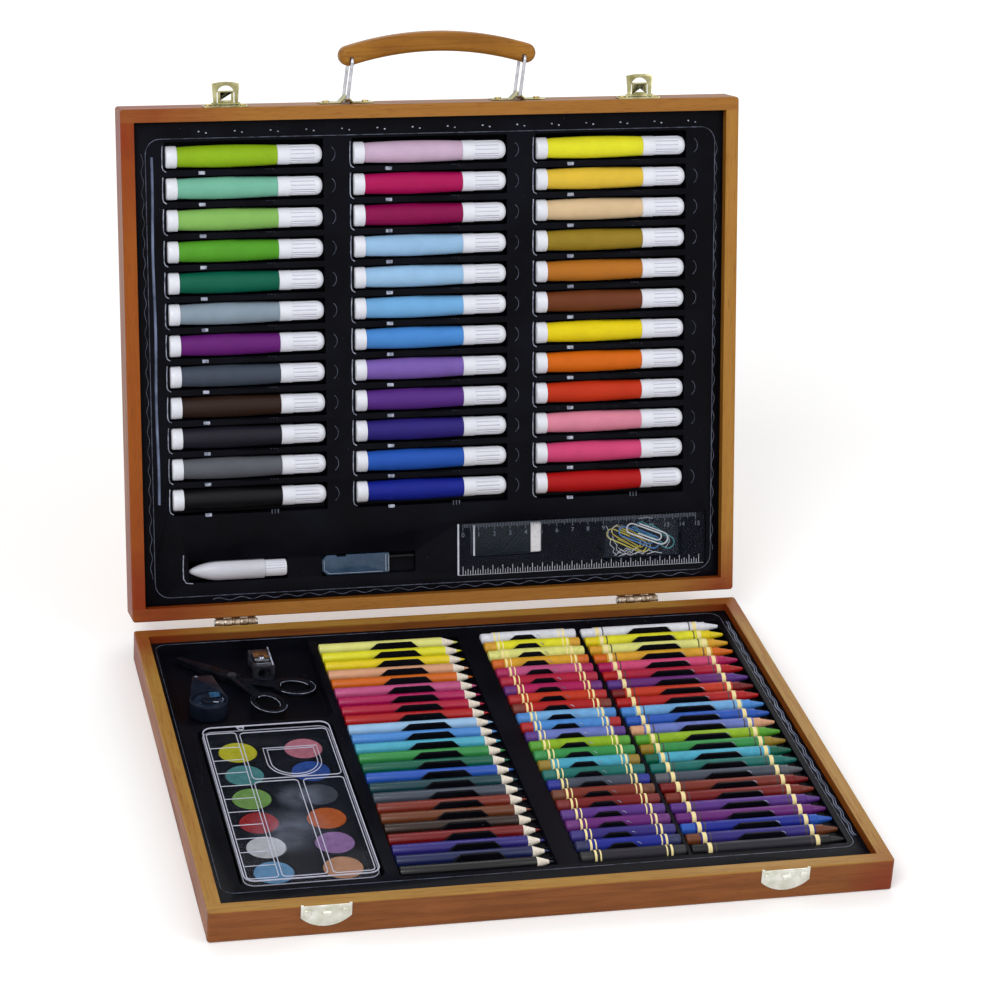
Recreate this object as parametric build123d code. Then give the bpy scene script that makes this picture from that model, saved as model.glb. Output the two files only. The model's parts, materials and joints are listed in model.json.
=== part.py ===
# Wooden art set case, open at its rest position, with its trays and drawing tools.
# Millimetres, +Z up. The origin is the centre of the base's underside, +X is the case's
# right seen from the front, and -Y is the front, where the latches close.
from build123d import *
import os
from math import atan2, cos, degrees, radians, sin, sqrt

# Wooden case; its width and depth follow from what it holds
base_height = 19.0
lid_height = 26.0
rail_width = 8.0
rail_corner_radius = 2.0
rail_edge_radius = 0.8
panel_thickness = 3.0
panel_rabbet = 4.0
rim_gap = 0.4
open_angle = 105.0

# Butt hinges on the rear faces
hinge_inset = 63.0
hinge_width = 25.0
hinge_offset = 3.0
leaf_thickness = 1.0
leaf_length = 13.5
knuckle_radius = 2.6
knuckle_count = 5
knuckle_gap = 0.3
pin_radius = 1.1
pin_play = 0.05
pin_head_radius = 1.9
pin_head_length = 0.8

# Wood screws
screw_head_radius = 2.1
screw_head_height = 0.9
screw_head_rounding = 0.54
screw_shank_radius = 0.9
screw_length = 6.0
screw_play = 0.05
hinge_screw_spacing = 15.0
hinge_screw_drop = 9.0

# Latches: a keeper on the base, and a plate with a loop and a lever on the lid
latch_inset = 63.0
keeper_width = 27.5
keeper_height = 12.8
keeper_thickness = 0.8
keeper_corner_height = 7.0
keeper_tab_width = 1.6
keeper_tab_height = 0.7
keeper_rim_drop = 0.4
latch_screw_spacing = 20.5
latch_screw_drop = 4.4
hook_width = 4.6
hook_height = 2.0
hook_reach = 3.0
hook_drop = 5.5
plate_width = 27.0
plate_height = 9.0
plate_thickness = 0.8
plate_corner_radius = 1.5
latch_pivot_out = 1.9
latch_pivot_drop = 2.1
loop_width = 14.6
loop_top_width = 16.4
loop_length = 13.0
loop_arch_rise = 1.0
loop_window_width = 10.6
loop_window_top = 10.8
loop_window_overrun = 2.0
loop_sheet = 1.0
loop_knuckle_radius = 0.95
lever_width = 9.4
lever_length = 7.8
lever_sheet = 0.8
lever_hole_width = 6.4
lever_hole_start = 2.1
lever_hole_height = 4.8
latch_pin_radius = 0.5
latch_play = 0.05
latch_gap = 0.25
latch_ear_thickness = 1.1

# Carrying handle: two wire rings between bridge brackets and an arched wooden grip
handle_spacing = 106.0
bracket_width = 33.0
bracket_depth = 9.0
bracket_thickness = 0.9
eye_half_width = 3.4
eye_height = 3.9
bracket_screw_spacing = 24.0
ring_length = 25.0
ring_depth = 14.0
wire_radius = 1.0
ring_bend_radius = 2.0
ring_pivot_height = 1.7
ring_play = 0.15
handle_lean = 8.0
grip_end_margin = 7.5
grip_thickness = 12.0
grip_depth = 11.2
grip_rise = 8.0
grip_edge_radius = 3.5
grip_hole_height = 4.2

# Formed plastic trays
tray_gap = 0.3
sheet = 1.0
base_flange_drop = 5.0
lid_flange_drop = 6.0
well_corner_radius = 1.2
wide_well_corner_radius = 6.0
seat_gap = 0.3
side_gap = 0.5

# Stick wells of the base: pencils, pastels and crayons in rows
base_row_count = 24
base_row_pitch = 10.87
base_front_margin = 20.52
base_back_margin = 12.6
stick_floor_level = 8.6
row_ridge_play = 0.5
pencil_length = 76.0
pencil_radius = 3.6
pencil_wood_radius = 3.5
cone_length = 7.2
lead_radius = 1.1
lead_length = 3.3
lead_shoulder = 2.97
lead_tip_radius = 0.3
pastel_length = 60.0
pastel_radius = 4.1
pastel_wrap_length = 46.0
pastel_chamfer = 0.8
wrap_thickness = 0.4
crayon_length = 88.5
crayon_radius = 3.8
crayon_wrap_length = 67.0
crayon_wrap_offset = 1.5
crayon_tip_length = 9.0
crayon_tip_radius = 1.2
pencil_tab_length = 35.0
pencil_tab_offset = 2.5
pastel_tab_length = 24.5
pastel_tab_offset = -4.0
crayon_tab_length = 35.0
crayon_tab_offset = -1.3
tab_top_level = 17.6
tab_shoulder = 7.0
tab_corner_radius = 2.2

# Columns of the base, left to right: the kit column, and the gaps before, between and after
kit_width = 75.0
kit_margin = 16.15
pencil_gap = 10.09
pastel_gap = 14.13
crayon_gap = 3.53
crayon_margin = 10.1

# Paint palette
palette_front_margin = 23.0
palette_tool_gap = 6.5
palette_height = 7.0
palette_corner_radius = 6.0
palette_floor_level = 4.2
palette_play = 2.0
pan_radius = 11.0
pan_height = 3.0
pan_play = 0.3
pan_pitch_x = 38.0
pan_pitch_y = 25.4
pan_offset_y = -4.0
pan_end_margin = 5.0
pan_columns = 2
cover_sheet = 1.2
cover_rim_height = 4.4
cover_gap = 0.3
cover_rib = 1.6
cover_ladder_width = 18.5
cover_back_cell = 60.0
cover_rung_count = 10
mixing_well_radius = 15.5
mixing_well_side = 16.5
mixing_well_gap = 2.5

# Tool well with scissors, sharpener and tape dispenser
tool_well_length = 98.0
tool_well_back_margin = 2.5
tool_well_side_margin = 4.5
tool_floor_level = 6.0
scissors_from_left = 45.0
scissors_from_back = 40.0
scissors_angle = -42.0
scissors_spread = 22.0
blade_length = 39.0
blade_width = 8.0
blade_tip_width = 3.0
blade_middle = 19.5
blade_middle_width = 7.2
scissors_layer = 1.9
scissors_layer_gap = 0.1
scissors_arm_width = 6.0
scissors_reach = 38.0
finger_loop_length = 26.0
finger_loop_width = 20.0
finger_loop_rim = 3.2
rivet_radius = 1.6
rivet_head_radius = 2.8
rivet_head_height = 0.8
rivet_play = 0.05
sharpener_width = 12.6
sharpener_length = 25.0
sharpener_height = 10.0
sharpener_waist = 1.6
sharpener_waist_radius = 10.0
sharpener_slope = 2.2
sharpener_from_left = 64.5
sharpener_from_back = 28.0
sharpener_bore_radius = 3.9
sharpener_bore_depth = 20.0
sharpener_bore_drop = 0.2
sharpener_slot = 3.0
sharpener_slot_front = 6.25
sharpener_slot_back = 7.5
cutter_length = 18.0
cutter_thickness = 0.6
cutter_side_gap = 0.2
cutter_screw_radius = 1.7
cutter_screw_height = 0.7
dispenser_from_left = 26.0
dispenser_from_back = 74.0
dispenser_radius = 11.5
dispenser_nose = 28.0
dispenser_nose_width = 12.0
dispenser_shoulder_width = 22.54
dispenser_height = 9.5
dispenser_wall = 1.2
tape_radius = 9.2
tape_core_radius = 4.5
tape_height = 6.4

# Marker well of the lid
lid_row_count = 12
lid_back_margin = 12.1
lid_front_margin = 55.4
marker_columns = 3
marker_gap_shares = (18.7, 18.5, 18.5, 24.0)
marker_length = 94.5
marker_radius = 6.7
marker_waist_radius = 5.8
marker_rim_drop = 2.1
plug_length = 6.6
plug_radius = 6.6
plug_chamfer = 0.8
barrel_length = 60.4
cap_radius = 6.0
cap_sleeve_length = 7.5
cap_dome_length = 4.5
cap_step = 0.3
marker_ridge_play = 0.9
marker_tab_length = 30.0
marker_tab_thickness = 2.6
marker_tab_rise = 2.0
marker_tab_shoulder = 4.0
marker_tab_middle = 52.9

# Small items below the markers in the lid
low_row_margin = 20.0
pen_start = 28.0
pen_length = 60.0
pen_radius = 6.2
pen_nose_length = 16.0
pen_nose_tip_radius = 1.8
pen_nose_swell = 7.2
pen_nose_swell_radius = 4.7
pen_cap_length = 13.6
pen_cap_radius = 5.3
pen_cap_chamfer = 0.8
brush_start = 110.0
brush_handle_length = 42.0
brush_handle_width = 12.5
brush_handle_thickness = 6.0
brush_bevel = 3.0
brush_corner_radius = 0.6
brush_notch_start = 9.0
brush_notch_length = 6.0
brush_notch_depth = 1.2
brush_rod_length = 16.0
brush_rod_radius = 0.9
brush_rod_offset = 3.1
ruler_from_right = 9.0
ruler_length = 160.0
ruler_width = 33.0
ruler_thickness = 2.0
ruler_level = 18.0
ruler_from_front = 9.0
ruler_bevel = 8.0
ruler_bevel_edge = 1.0
eraser_length = 45.0
eraser_width = 20.0
eraser_height = 8.0
eraser_sleeve_length = 38.0
eraser_sleeve_wall = 0.5
eraser_inset = 9.5
eraser_offset = 4.8
eraser_edge_radius = 1.0
bag_length = 50.0
bag_width = 27.0
bag_height = 7.4
bag_inset = 95.0
bag_offset = 1.5
bag_edge_radius = 2.5
bag_wall = 0.6
clip_length = 26.0
clip_width = 7.0
clip_wire_radius = 0.5
clip_bend_gap = 1.5
clip_start = 7.2
clip_inner_start = 6.5
clip_inner_end = 7.8
clip_bend_radius = 1.8
clip_count = 5
clip_rise = 1.045
clip_seat_gap = 0.1
clip_first_turn = -20.0
clip_turn_step = 8.0
clip_spread = 3.0

# Levels and edges that follow from the sizes above
base_column_widths = (kit_width, pencil_length + cone_length + lead_length, pastel_length, crayon_length)
base_gaps = (kit_margin, pencil_gap, pastel_gap, crayon_gap, crayon_margin)
inner_width = sum(base_column_widths) + sum(base_gaps)
inner_depth = base_front_margin + base_row_count * base_row_pitch + base_back_margin
case_width = inner_width + 2 * rail_width
case_depth = inner_depth + 2 * rail_width
hinge_spacing = case_width - 2 * hinge_inset
latch_spacing = case_width - 2 * latch_inset
grip_length = handle_spacing + 2 * grip_end_margin
half_inner_width = inner_width / 2
half_inner_depth = inner_depth / 2
half_depth = case_depth / 2
axis_level = base_height + rim_gap / 2
lid_axis_level = lid_height + rim_gap / 2
base_flange_level = base_height - base_flange_drop
lid_flange_level = lid_height - lid_flange_drop

LID_PLACE = (
    Pos(0, half_depth + hinge_offset, axis_level)
    * Rot(180 - open_angle, 0, 0)
    * Pos(0, half_depth + hinge_offset, -lid_axis_level)
)


def block(x0, x1, y0, y1, z0, z1):
    """A box between two corners."""
    size = Box(x1 - x0, y1 - y0, z1 - z0)
    return Pos((x0 + x1) / 2, (y0 + y1) / 2, (z0 + z1) / 2) * size


def round_block(x0, x1, y0, y1, z0, z1, radius):
    """A box between two corners, with round upright edges."""
    face = RectangleRounded(x1 - x0, y1 - y0, radius)
    return Pos((x0 + x1) / 2, (y0 + y1) / 2, z0) * extrude(face, z1 - z0)


def rod_x(radius, x0, x1):
    """A round rod along X on the line y = z = 0."""
    return Pos((x0 + x1) / 2, 0, 0) * Rot(0, 90, 0) * Cylinder(radius, x1 - x0)


def turned_x(points):
    """A solid turned about X from an outline of (x, radius) points."""
    outline = Polyline(*points, close=True)
    return revolve(make_face(outline), Axis.X)


def group(pieces):
    """Several separate solids kept in one node."""
    solids = []
    for piece in pieces:
        solids.extend(piece.solids())
    return Compound(solids)


def in_lid(piece):
    """Moves a piece from the lid's own frame, rim upwards, to the open lid."""
    return LID_PLACE * piece


# Wood screws

def wood_screw():
    """A screw whose head stands on z = 0 and whose shank goes down."""
    head = Pos(0, 0, screw_head_height / 2) * Cylinder(screw_head_radius, screw_head_height)
    head = fillet(head.edges().group_by(Axis.Z)[-1], screw_head_rounding)
    shank = Pos(0, 0, -screw_length / 2) * Cylinder(screw_shank_radius, screw_length)
    return head + shank


def screw_hole():
    """The clearance hole for one screw, through a plate and into the wood."""
    depth = screw_length + screw_play
    return Pos(0, 0, -depth / 2) * Cylinder(screw_shank_radius + screw_play, depth)


def rear_place(x, z, thickness):
    """A screw place on a rear face that looks along +Y."""
    return Pos(x, half_depth + thickness, z) * Rot(-90, 0, 0)


def front_place(x, z, thickness):
    """A screw place on a front face that looks along -Y."""
    return Pos(x, -half_depth - thickness, z) * Rot(90, 0, 0)


def pair(spacing):
    """Two places, either side of the middle."""
    return (-spacing / 2, spacing / 2)


def screw_columns(spacing, screw_spacing):
    """The X of each screw of two fittings that stand a spacing apart."""
    return [centre + side for centre in pair(spacing) for side in pair(screw_spacing)]


base_hinge_places = [
    rear_place(x, axis_level - hinge_screw_drop, leaf_thickness)
    for x in screw_columns(hinge_spacing, hinge_screw_spacing)
]
keeper_places = [
    front_place(x, base_height - latch_screw_drop, keeper_thickness)
    for x in screw_columns(latch_spacing, latch_screw_spacing)
]
lid_hinge_places = [
    front_place(x, lid_axis_level - hinge_screw_drop, leaf_thickness)
    for x in screw_columns(hinge_spacing, hinge_screw_spacing)
]
latch_places = [
    rear_place(x, lid_height - latch_screw_drop, plate_thickness)
    for x in screw_columns(latch_spacing, latch_screw_spacing)
]
bracket_places = [
    rear_place(x, lid_height / 2, bracket_thickness)
    for x in screw_columns(handle_spacing, bracket_screw_spacing)
]


# Wooden frames

def long_rail(side, height, screw_places):
    """A front or back rail, as long as the case is wide."""
    y0 = side * half_depth
    y1 = side * half_inner_depth
    rail = block(-case_width / 2, case_width / 2, min(y0, y1), max(y0, y1), 0, height)
    corners = rail.edges().filter_by(Axis.Z).group_by(Axis.Y)[-1 if side > 0 else 0]
    rail = fillet(corners, rail_corner_radius)
    outer = rail.edges().filter_by(Axis.X).group_by(Axis.Y)[-1 if side > 0 else 0]
    rail = fillet(outer, rail_edge_radius)
    rail -= panel_seat()
    for place in screw_places:
        rail -= place * screw_hole()
    return rail


def side_rail(side, height):
    """A left or right rail, fitted between the long ones."""
    x0 = side * case_width / 2
    x1 = side * half_inner_width
    rail = block(min(x0, x1), max(x0, x1), -half_inner_depth, half_inner_depth, 0, height)
    outer = rail.edges().filter_by(Axis.Y).group_by(Axis.X)[-1 if side > 0 else 0]
    return fillet(outer, rail_edge_radius) - panel_seat()


def panel_seat():
    """The space that the thin panel takes, let into the rails."""
    half_x = half_inner_width + panel_rabbet
    half_y = half_inner_depth + panel_rabbet
    return block(-half_x, half_x, -half_y, half_y, 0, panel_thickness)


# Hinges

def knuckle_span(index):
    """Where one knuckle starts and ends along its hinge."""
    pitch = hinge_width / knuckle_count
    start = -hinge_width / 2 + index * pitch
    return start + knuckle_gap / 2, start + pitch - knuckle_gap / 2


def hinge_leaf(own_knuckles):
    """A leaf about its pin on the X axis, on a face that looks along +Y, going down."""
    y0 = -hinge_offset
    y1 = y0 + leaf_thickness
    clear = sqrt((knuckle_radius + 2 * knuckle_gap) ** 2 - y1**2)
    half = hinge_width / 2
    leaf = block(-half, half, y0, y1, -leaf_length, -clear)
    for index in own_knuckles:
        x0, x1 = knuckle_span(index)
        leaf += block(x0, x1, y0, y1, -clear, -2 * knuckle_gap)
        leaf += rod_x(knuckle_radius, x0, x1)
    leaf -= rod_x(pin_radius + pin_play, -half, half)
    for x in pair(hinge_screw_spacing):
        leaf -= Pos(x, y1, -hinge_screw_drop) * Rot(-90, 0, 0) * screw_hole()
    return leaf


def hinge_pin():
    """A headed pin along X through the knuckles."""
    half = hinge_width / 2
    pin = rod_x(pin_radius, -half, half)
    for side in (-1, 1):
        ends = sorted((side * half, side * (half + pin_head_length)))
        pin += rod_x(pin_head_radius, *ends)
    return pin


# Latches

def keeper():
    """The base's latch plate on a face that looks along -Y, top edge at z = 0."""
    half = keeper_width / 2
    straight = -keeper_corner_height
    outline = [
        Line((-half, 0), (half, 0)),
        Line((half, 0), (half, straight)),
        ThreePointArc((half, straight), (0, -keeper_height), (-half, straight)),
        Line((-half, straight), (-half, 0)),
    ]
    plate = Rot(90, 0, 0) * extrude(make_face(outline), keeper_thickness)
    for side in (-1, 1):
        x0, x1 = sorted((side * half, side * (half - keeper_tab_width)))
        plate += block(x0, x1, -keeper_thickness, 0, -keeper_corner_height, keeper_tab_height)
    top = keeper_rim_drop + rim_gap + latch_pivot_drop - hook_drop
    reach = keeper_thickness + hook_reach
    hook = block(-hook_width / 2, hook_width / 2, -reach, 0, top - hook_height, top)
    plate += hook
    for x in pair(latch_screw_spacing):
        place = Pos(x, -keeper_thickness, keeper_rim_drop - latch_screw_drop)
        plate -= place * Rot(90, 0, 0) * screw_hole()
    return plate


def latch_plate():
    """The lid's latch plate, about the latch pin on the X axis; its wood lies at -Y."""
    y0 = -latch_pivot_out
    half = plate_width / 2
    top = latch_pivot_drop - keeper_rim_drop
    plate = block(-half, half, y0, y0 + plate_thickness, top - plate_height, top)
    plate = fillet(plate.edges().filter_by(Axis.Y), plate_corner_radius)
    ear_in = loop_width / 2 + latch_gap
    ear_out = ear_in + latch_ear_thickness
    for side in (-1, 1):
        x0, x1 = sorted((side * ear_in, side * ear_out))
        plate += block(x0, x1, y0, 0, -loop_knuckle_radius, loop_knuckle_radius)
        plate += rod_x(loop_knuckle_radius, x0, x1)
    plate += rod_x(latch_pin_radius, -ear_out, ear_out)
    for x in pair(latch_screw_spacing):
        place = Pos(x, y0 + plate_thickness, latch_pivot_drop - latch_screw_drop)
        plate -= place * Rot(-90, 0, 0) * screw_hole()
    return plate


def latch_loop():
    """The flared latch loop with its arched window, standing out along +Y from its pin on X."""
    half = loop_width / 2
    half_top = loop_top_width / 2
    inner = loop_window_width / 2
    straight = loop_length - loop_arch_rise
    inner_straight = loop_window_top - inner
    foot = -loop_window_overrun
    outer_line = [
        Line((-half, 0), (half, 0)),
        Line((half, 0), (half_top, straight)),
        ThreePointArc((half_top, straight), (0, loop_length), (-half_top, straight)),
        Line((-half_top, straight), (-half, 0)),
    ]
    window_line = [
        Line((-inner, foot), (inner, foot)),
        Line((inner, foot), (inner, inner_straight)),
        ThreePointArc((inner, inner_straight), (0, loop_window_top), (-inner, inner_straight)),
        Line((-inner, inner_straight), (-inner, foot)),
    ]
    sheet_face = make_face(outer_line) - make_face(window_line)
    loop = Pos(0, 0, -loop_sheet / 2) * extrude(sheet_face, loop_sheet)
    for side in (-1, 1):
        x0, x1 = sorted((side * inner, side * half))
        loop += rod_x(loop_knuckle_radius, x0, x1)
    return loop - rod_x(latch_pin_radius + latch_play, -half_top, half_top)


def latch_lever():
    """The folded inner lever with its square hole, on the same pin as the loop."""
    half = lever_width / 2
    lever = block(-half, half, 0, lever_length, -lever_sheet / 2, lever_sheet / 2)
    lip = block(-half, half, lever_length - lever_sheet, lever_length, 0, 2 * lever_sheet)
    hole_half = lever_hole_width / 2
    hole_end = lever_hole_start + lever_hole_height
    hole = block(-hole_half, hole_half, lever_hole_start, hole_end, -lever_sheet, lever_sheet)
    knuckle = rod_x(loop_knuckle_radius, -half, half)
    return lever + lip + knuckle - hole - rod_x(latch_pin_radius + latch_play, -half, half)


# Handle

def handle_bracket():
    """A strip with a gable bridge in its middle, on a face that looks along +Y."""
    half = bracket_width / 2
    thick = bracket_thickness
    slope = sqrt(eye_half_width**2 + eye_height**2)
    wide = thick * slope / eye_height
    tall = thick * slope / eye_half_width
    outer_foot = eye_half_width + wide * (1 - thick / (eye_height + tall))
    outline = Polyline(
        (-half, 0), (-eye_half_width, 0), (0, eye_height), (eye_half_width, 0), (half, 0),
        (half, thick), (outer_foot, thick), (0, eye_height + tall), (-outer_foot, thick),
        (-half, thick), close=True,
    )
    strip = extrude(make_face(outline), bracket_depth)
    strip = Pos(0, 0, -bracket_depth / 2) * strip
    for x in pair(bracket_screw_spacing):
        strip -= Pos(x, thick, 0) * Rot(-90, 0, 0) * screw_hole()
    return strip


def wire_ring():
    """A closed wire ring in the Y-Z plane: its lower bar along Z at y = 0, the upper one
    a ring length away."""
    path = Plane.YZ * RectangleRounded(ring_length, ring_depth, ring_bend_radius)
    path = Pos(0, ring_length / 2, 0) * path
    wire = path.wires()[0]
    start = wire.edges()[0]
    section = Plane(origin=start @ 0, z_dir=start % 0) * Circle(wire_radius)
    return sweep(section, path=wire)


def handle_grip():
    """An arched grip with round ends, whose holes lie on y = 0, a ring spacing apart."""
    nose = grip_thickness / 2
    side = grip_length / 2 - nose
    middle = nose - grip_hole_height
    arch = ThreePointArc((-side, middle), (0, middle + grip_rise), (side, middle))
    grip = Pos(0, 0, -grip_depth / 2) * extrude(SlotArc(arch, grip_thickness), grip_depth)
    grip = fillet(grip.faces().filter_by(Axis.Z).edges(), grip_edge_radius)
    for x in pair(handle_spacing):
        bore = Cylinder(wire_radius + ring_play, grip_depth)
        grip -= Pos(x, 0, 0) * bore
    return grip


# Trays

def tray_shell(flange_level, wells):
    """A formed tray: a flange on a skirt that stands on the panel, with hollow wells.
    Each well is (x0, x1, y0, y1, floor level, corner radius)."""
    x1 = half_inner_width - tray_gap
    y1 = half_inner_depth - tray_gap
    shell = block(-x1, x1, -y1, y1, panel_thickness, flange_level)
    inside = (-x1 + sheet, x1 - sheet, -y1 + sheet, y1 - sheet)
    shell -= block(*inside, panel_thickness, flange_level - sheet)
    for wx0, wx1, wy0, wy1, floor, corner in wells:
        outside = (wx0 - sheet, wx1 + sheet, wy0 - sheet, wy1 + sheet)
        shell += round_block(*outside, floor - sheet, flange_level, corner + sheet)
    for wx0, wx1, wy0, wy1, floor, corner in wells:
        shell -= round_block(wx0, wx1, wy0, wy1, floor, flange_level, corner)
    return shell


def row_tab(x0, x1, y, thickness, level, top, shoulder):
    """A flat-topped tab with sloping ends that stands between two rows."""
    half = (x1 - x0) / 2
    rise = top - level
    outline = Polyline(
        (-half, 0), (half, 0), (half - shoulder, rise), (shoulder - half, rise), close=True,
    )
    face = make_face(outline)
    face = fillet(face.vertices().group_by(Axis.Y)[-1], tab_corner_radius)
    tab = Rot(90, 0, 0) * extrude(face, thickness)
    return Pos((x0 + x1) / 2, y + thickness / 2, level) * tab


# Base contents, left to right

kit_x = -half_inner_width + kit_margin
pencil_x = kit_x + kit_width + pencil_gap
pencil_end = pencil_x + base_column_widths[1]
pastel_x = pencil_end + pastel_gap
crayon_x = pastel_x + pastel_length + crayon_gap
crayon_end = crayon_x + crayon_length
base_rows = [
    half_inner_depth - base_back_margin - base_row_pitch * (row + 0.5)
    for row in range(base_row_count)
]
stick_well_front = -half_inner_depth + base_front_margin
stick_well_back = half_inner_depth - base_back_margin
stick_rest = stick_floor_level + seat_gap
column_walls = [
    (pencil_end + side_gap, pastel_x - side_gap),
    (pastel_x + pastel_length + side_gap, crayon_x - side_gap),
]
stick_well = (
    pencil_x - side_gap,
    crayon_end + side_gap,
    stick_well_front,
    stick_well_back,
    stick_floor_level,
    well_corner_radius,
)

palette_x = kit_x
palette_y = -half_inner_depth + palette_front_margin
palette_end_y = half_inner_depth - tool_well_back_margin - tool_well_length - palette_tool_gap
palette_length = palette_end_y - palette_y
palette_well = (
    palette_x - palette_play,
    palette_x + kit_width + palette_play,
    palette_y - palette_play,
    palette_y + palette_length + palette_play,
    palette_floor_level,
    wide_well_corner_radius,
)
tool_well_back = half_inner_depth - tool_well_back_margin
tool_well = (
    -half_inner_width + tool_well_side_margin,
    pencil_x - side_gap - tool_well_side_margin,
    tool_well_back - tool_well_length,
    tool_well_back,
    tool_floor_level,
    wide_well_corner_radius,
)
tool_rest = tool_floor_level + seat_gap


def base_tray():
    """The base's tray, with ridges between the rows and tabs on them."""
    tray = tray_shell(base_flange_level, [stick_well, palette_well, tool_well])
    spans = [
        (pencil_x, pencil_end),
        (pastel_x, pastel_x + pastel_length),
        (crayon_x, crayon_end),
    ]
    tabs = [
        (pencil_tab_length, pencil_tab_offset),
        (pastel_tab_length, pastel_tab_offset),
        (crayon_tab_length, crayon_tab_offset),
    ]
    widest = max(pencil_radius, pastel_radius, crayon_radius)
    ridge = base_row_pitch - 2 * widest - 2 * row_ridge_play
    pieces = []
    for x0, x1 in column_walls:
        pieces.append(block(x0, x1, *stick_well[2:4], stick_floor_level, base_flange_level))
    level = (stick_floor_level + base_flange_level) / 2
    for row in range(base_row_count - 1):
        y = base_rows[row] - base_row_pitch / 2
        pieces.append(block(*stick_well[:2], y - ridge / 2, y + ridge / 2, stick_floor_level, level))
        for (x0, x1), (length, offset) in zip(spans, tabs):
            middle = (x0 + x1) / 2 + offset
            pieces.append(
                row_tab(
                    middle - length / 2, middle + length / 2, y, ridge, level, tab_top_level, tab_shoulder
                )
            )
    return tray.fuse(*pieces)


def at_rows(piece, x, radius):
    """One piece in each row of the base, resting on the well's floor."""
    return [Pos(x, y, stick_rest + radius) * piece for y in base_rows]


def pencil_barrels():
    return group(at_rows(rod_x(pencil_radius, 0, pencil_length), pencil_x, pencil_radius))


def pencil_cones():
    cone = turned_x([
        (0, 0), (0, pencil_wood_radius), (cone_length, lead_radius), (cone_length, 0),
    ])
    return group(at_rows(cone, pencil_x + pencil_length, pencil_radius))


def pencil_leads():
    lead = turned_x([(0, 0), (0, lead_radius), (lead_shoulder, lead_tip_radius), (lead_length, 0)])
    return group(at_rows(lead, pencil_x + pencil_length + cone_length, pencil_radius))


def wrapped_stick(length, radius, wrap_length, wrap_start, tip_length, tip_radius):
    """A stick and its paper wrapper, both along X from x = 0."""
    points = [(0, 0), (0, radius), (length - tip_length, radius)]
    points += [(length, tip_radius), (length, 0)]
    stick = turned_x(points)
    outer = rod_x(radius + wrap_thickness, wrap_start, wrap_start + wrap_length)
    wrapper = outer - rod_x(radius, wrap_start, wrap_start + wrap_length)
    return stick, wrapper


pastel_stick_radius = pastel_radius - wrap_thickness
crayon_stick_radius = crayon_radius - wrap_thickness


def pastels():
    start = (pastel_length - pastel_wrap_length) / 2
    stick, wrapper = wrapped_stick(
        pastel_length, pastel_stick_radius, pastel_wrap_length, start,
        pastel_chamfer, pastel_stick_radius - pastel_chamfer,
    )
    return (
        group(at_rows(stick, pastel_x, pastel_radius)),
        group(at_rows(wrapper, pastel_x, pastel_radius)),
    )


def crayons():
    start = (crayon_length - crayon_wrap_length - crayon_tip_length) / 2 + crayon_wrap_offset
    stick, wrapper = wrapped_stick(
        crayon_length, crayon_stick_radius, crayon_wrap_length, start,
        crayon_tip_length, crayon_tip_radius,
    )
    return (
        group(at_rows(stick, crayon_x, crayon_radius)),
        group(at_rows(wrapper, crayon_x, crayon_radius)),
    )


# Palette

palette_rest = palette_floor_level + seat_gap
palette_middle_x = palette_x + kit_width / 2
palette_middle_y = palette_y + palette_length / 2
pan_rows = int((palette_length - 2 * pan_end_margin) // pan_pitch_y)
pan_centres = [
    (
        palette_middle_x + (column - (pan_columns - 1) / 2) * pan_pitch_x,
        palette_middle_y + pan_offset_y + (row - (pan_rows - 1) / 2) * pan_pitch_y,
    )
    for row in range(pan_rows)
    for column in range(pan_columns)
]


def palette_base():
    """The palette's tray, with a round seat for each paint pan."""
    box = round_block(
        palette_x, palette_x + kit_width, palette_y, palette_y + palette_length,
        palette_rest, palette_rest + palette_height, palette_corner_radius,
    )
    depth = pan_height + seat_gap
    level = palette_rest + palette_height - depth / 2
    seats = [Pos(x, y, level) * Cylinder(pan_radius + pan_play, depth) for x, y in pan_centres]
    return box.cut(*seats)


def paint_pans():
    level = palette_rest + palette_height - pan_height / 2
    return group([Pos(x, y, level) * Cylinder(pan_radius, pan_height) for x, y in pan_centres])


def mixing_well(radius, side, height):
    """A well that is round in front and square behind, its round part about the Z axis."""
    return Cylinder(radius, height) + block(-radius, radius, 0, side, -height / 2, height / 2)


def palette_cover():
    """The clear cover: a thin plate with a rim, a ladder, a divided front and a mixing well."""
    z0 = palette_rest + palette_height + cover_gap
    z1 = z0 + cover_sheet
    z2 = z0 + cover_rim_height
    x0, x1 = palette_x, palette_x + kit_width
    y0, y1 = palette_y, palette_y + palette_length
    rim = cover_rib
    cover = round_block(x0, x1, y0, y1, z0, z2, palette_corner_radius)
    cover -= round_block(x0 + rim, x1 - rim, y0 + rim, y1 - rim, z1, z2, palette_corner_radius - rim)
    ladder_end = x0 + rim + cover_ladder_width
    middle_x = (ladder_end + x1) / 2
    split_y = y1 - rim - cover_back_cell
    ribs = [
        block(ladder_end, ladder_end + rim, y0, y1, z1, z2),
        block(middle_x - rim / 2, middle_x + rim / 2, y0, split_y, z1, z2),
        block(ladder_end, x1, split_y - rim, split_y, z1, z2),
    ]
    step = (palette_length - 2 * rim) / (cover_rung_count + 1)
    for rung in range(cover_rung_count):
        y = y0 + rim + step * (rung + 1)
        ribs.append(block(x0, ladder_end + rim, y - rim / 2, y + rim / 2, z1, z1 + cover_sheet))
    cover = cover.fuse(*ribs)
    height = z2 - z1
    well = mixing_well(mixing_well_radius, mixing_well_side, height)
    well -= mixing_well(mixing_well_radius - rim, mixing_well_side - rim, height)
    well_y = split_y + mixing_well_gap + mixing_well_radius
    return cover + Pos(middle_x, well_y, (z1 + z2) / 2) * well


# Scissors, sharpener and tape dispenser

scissors_x = -half_inner_width + scissors_from_left
scissors_y = half_inner_depth - scissors_from_back


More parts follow.
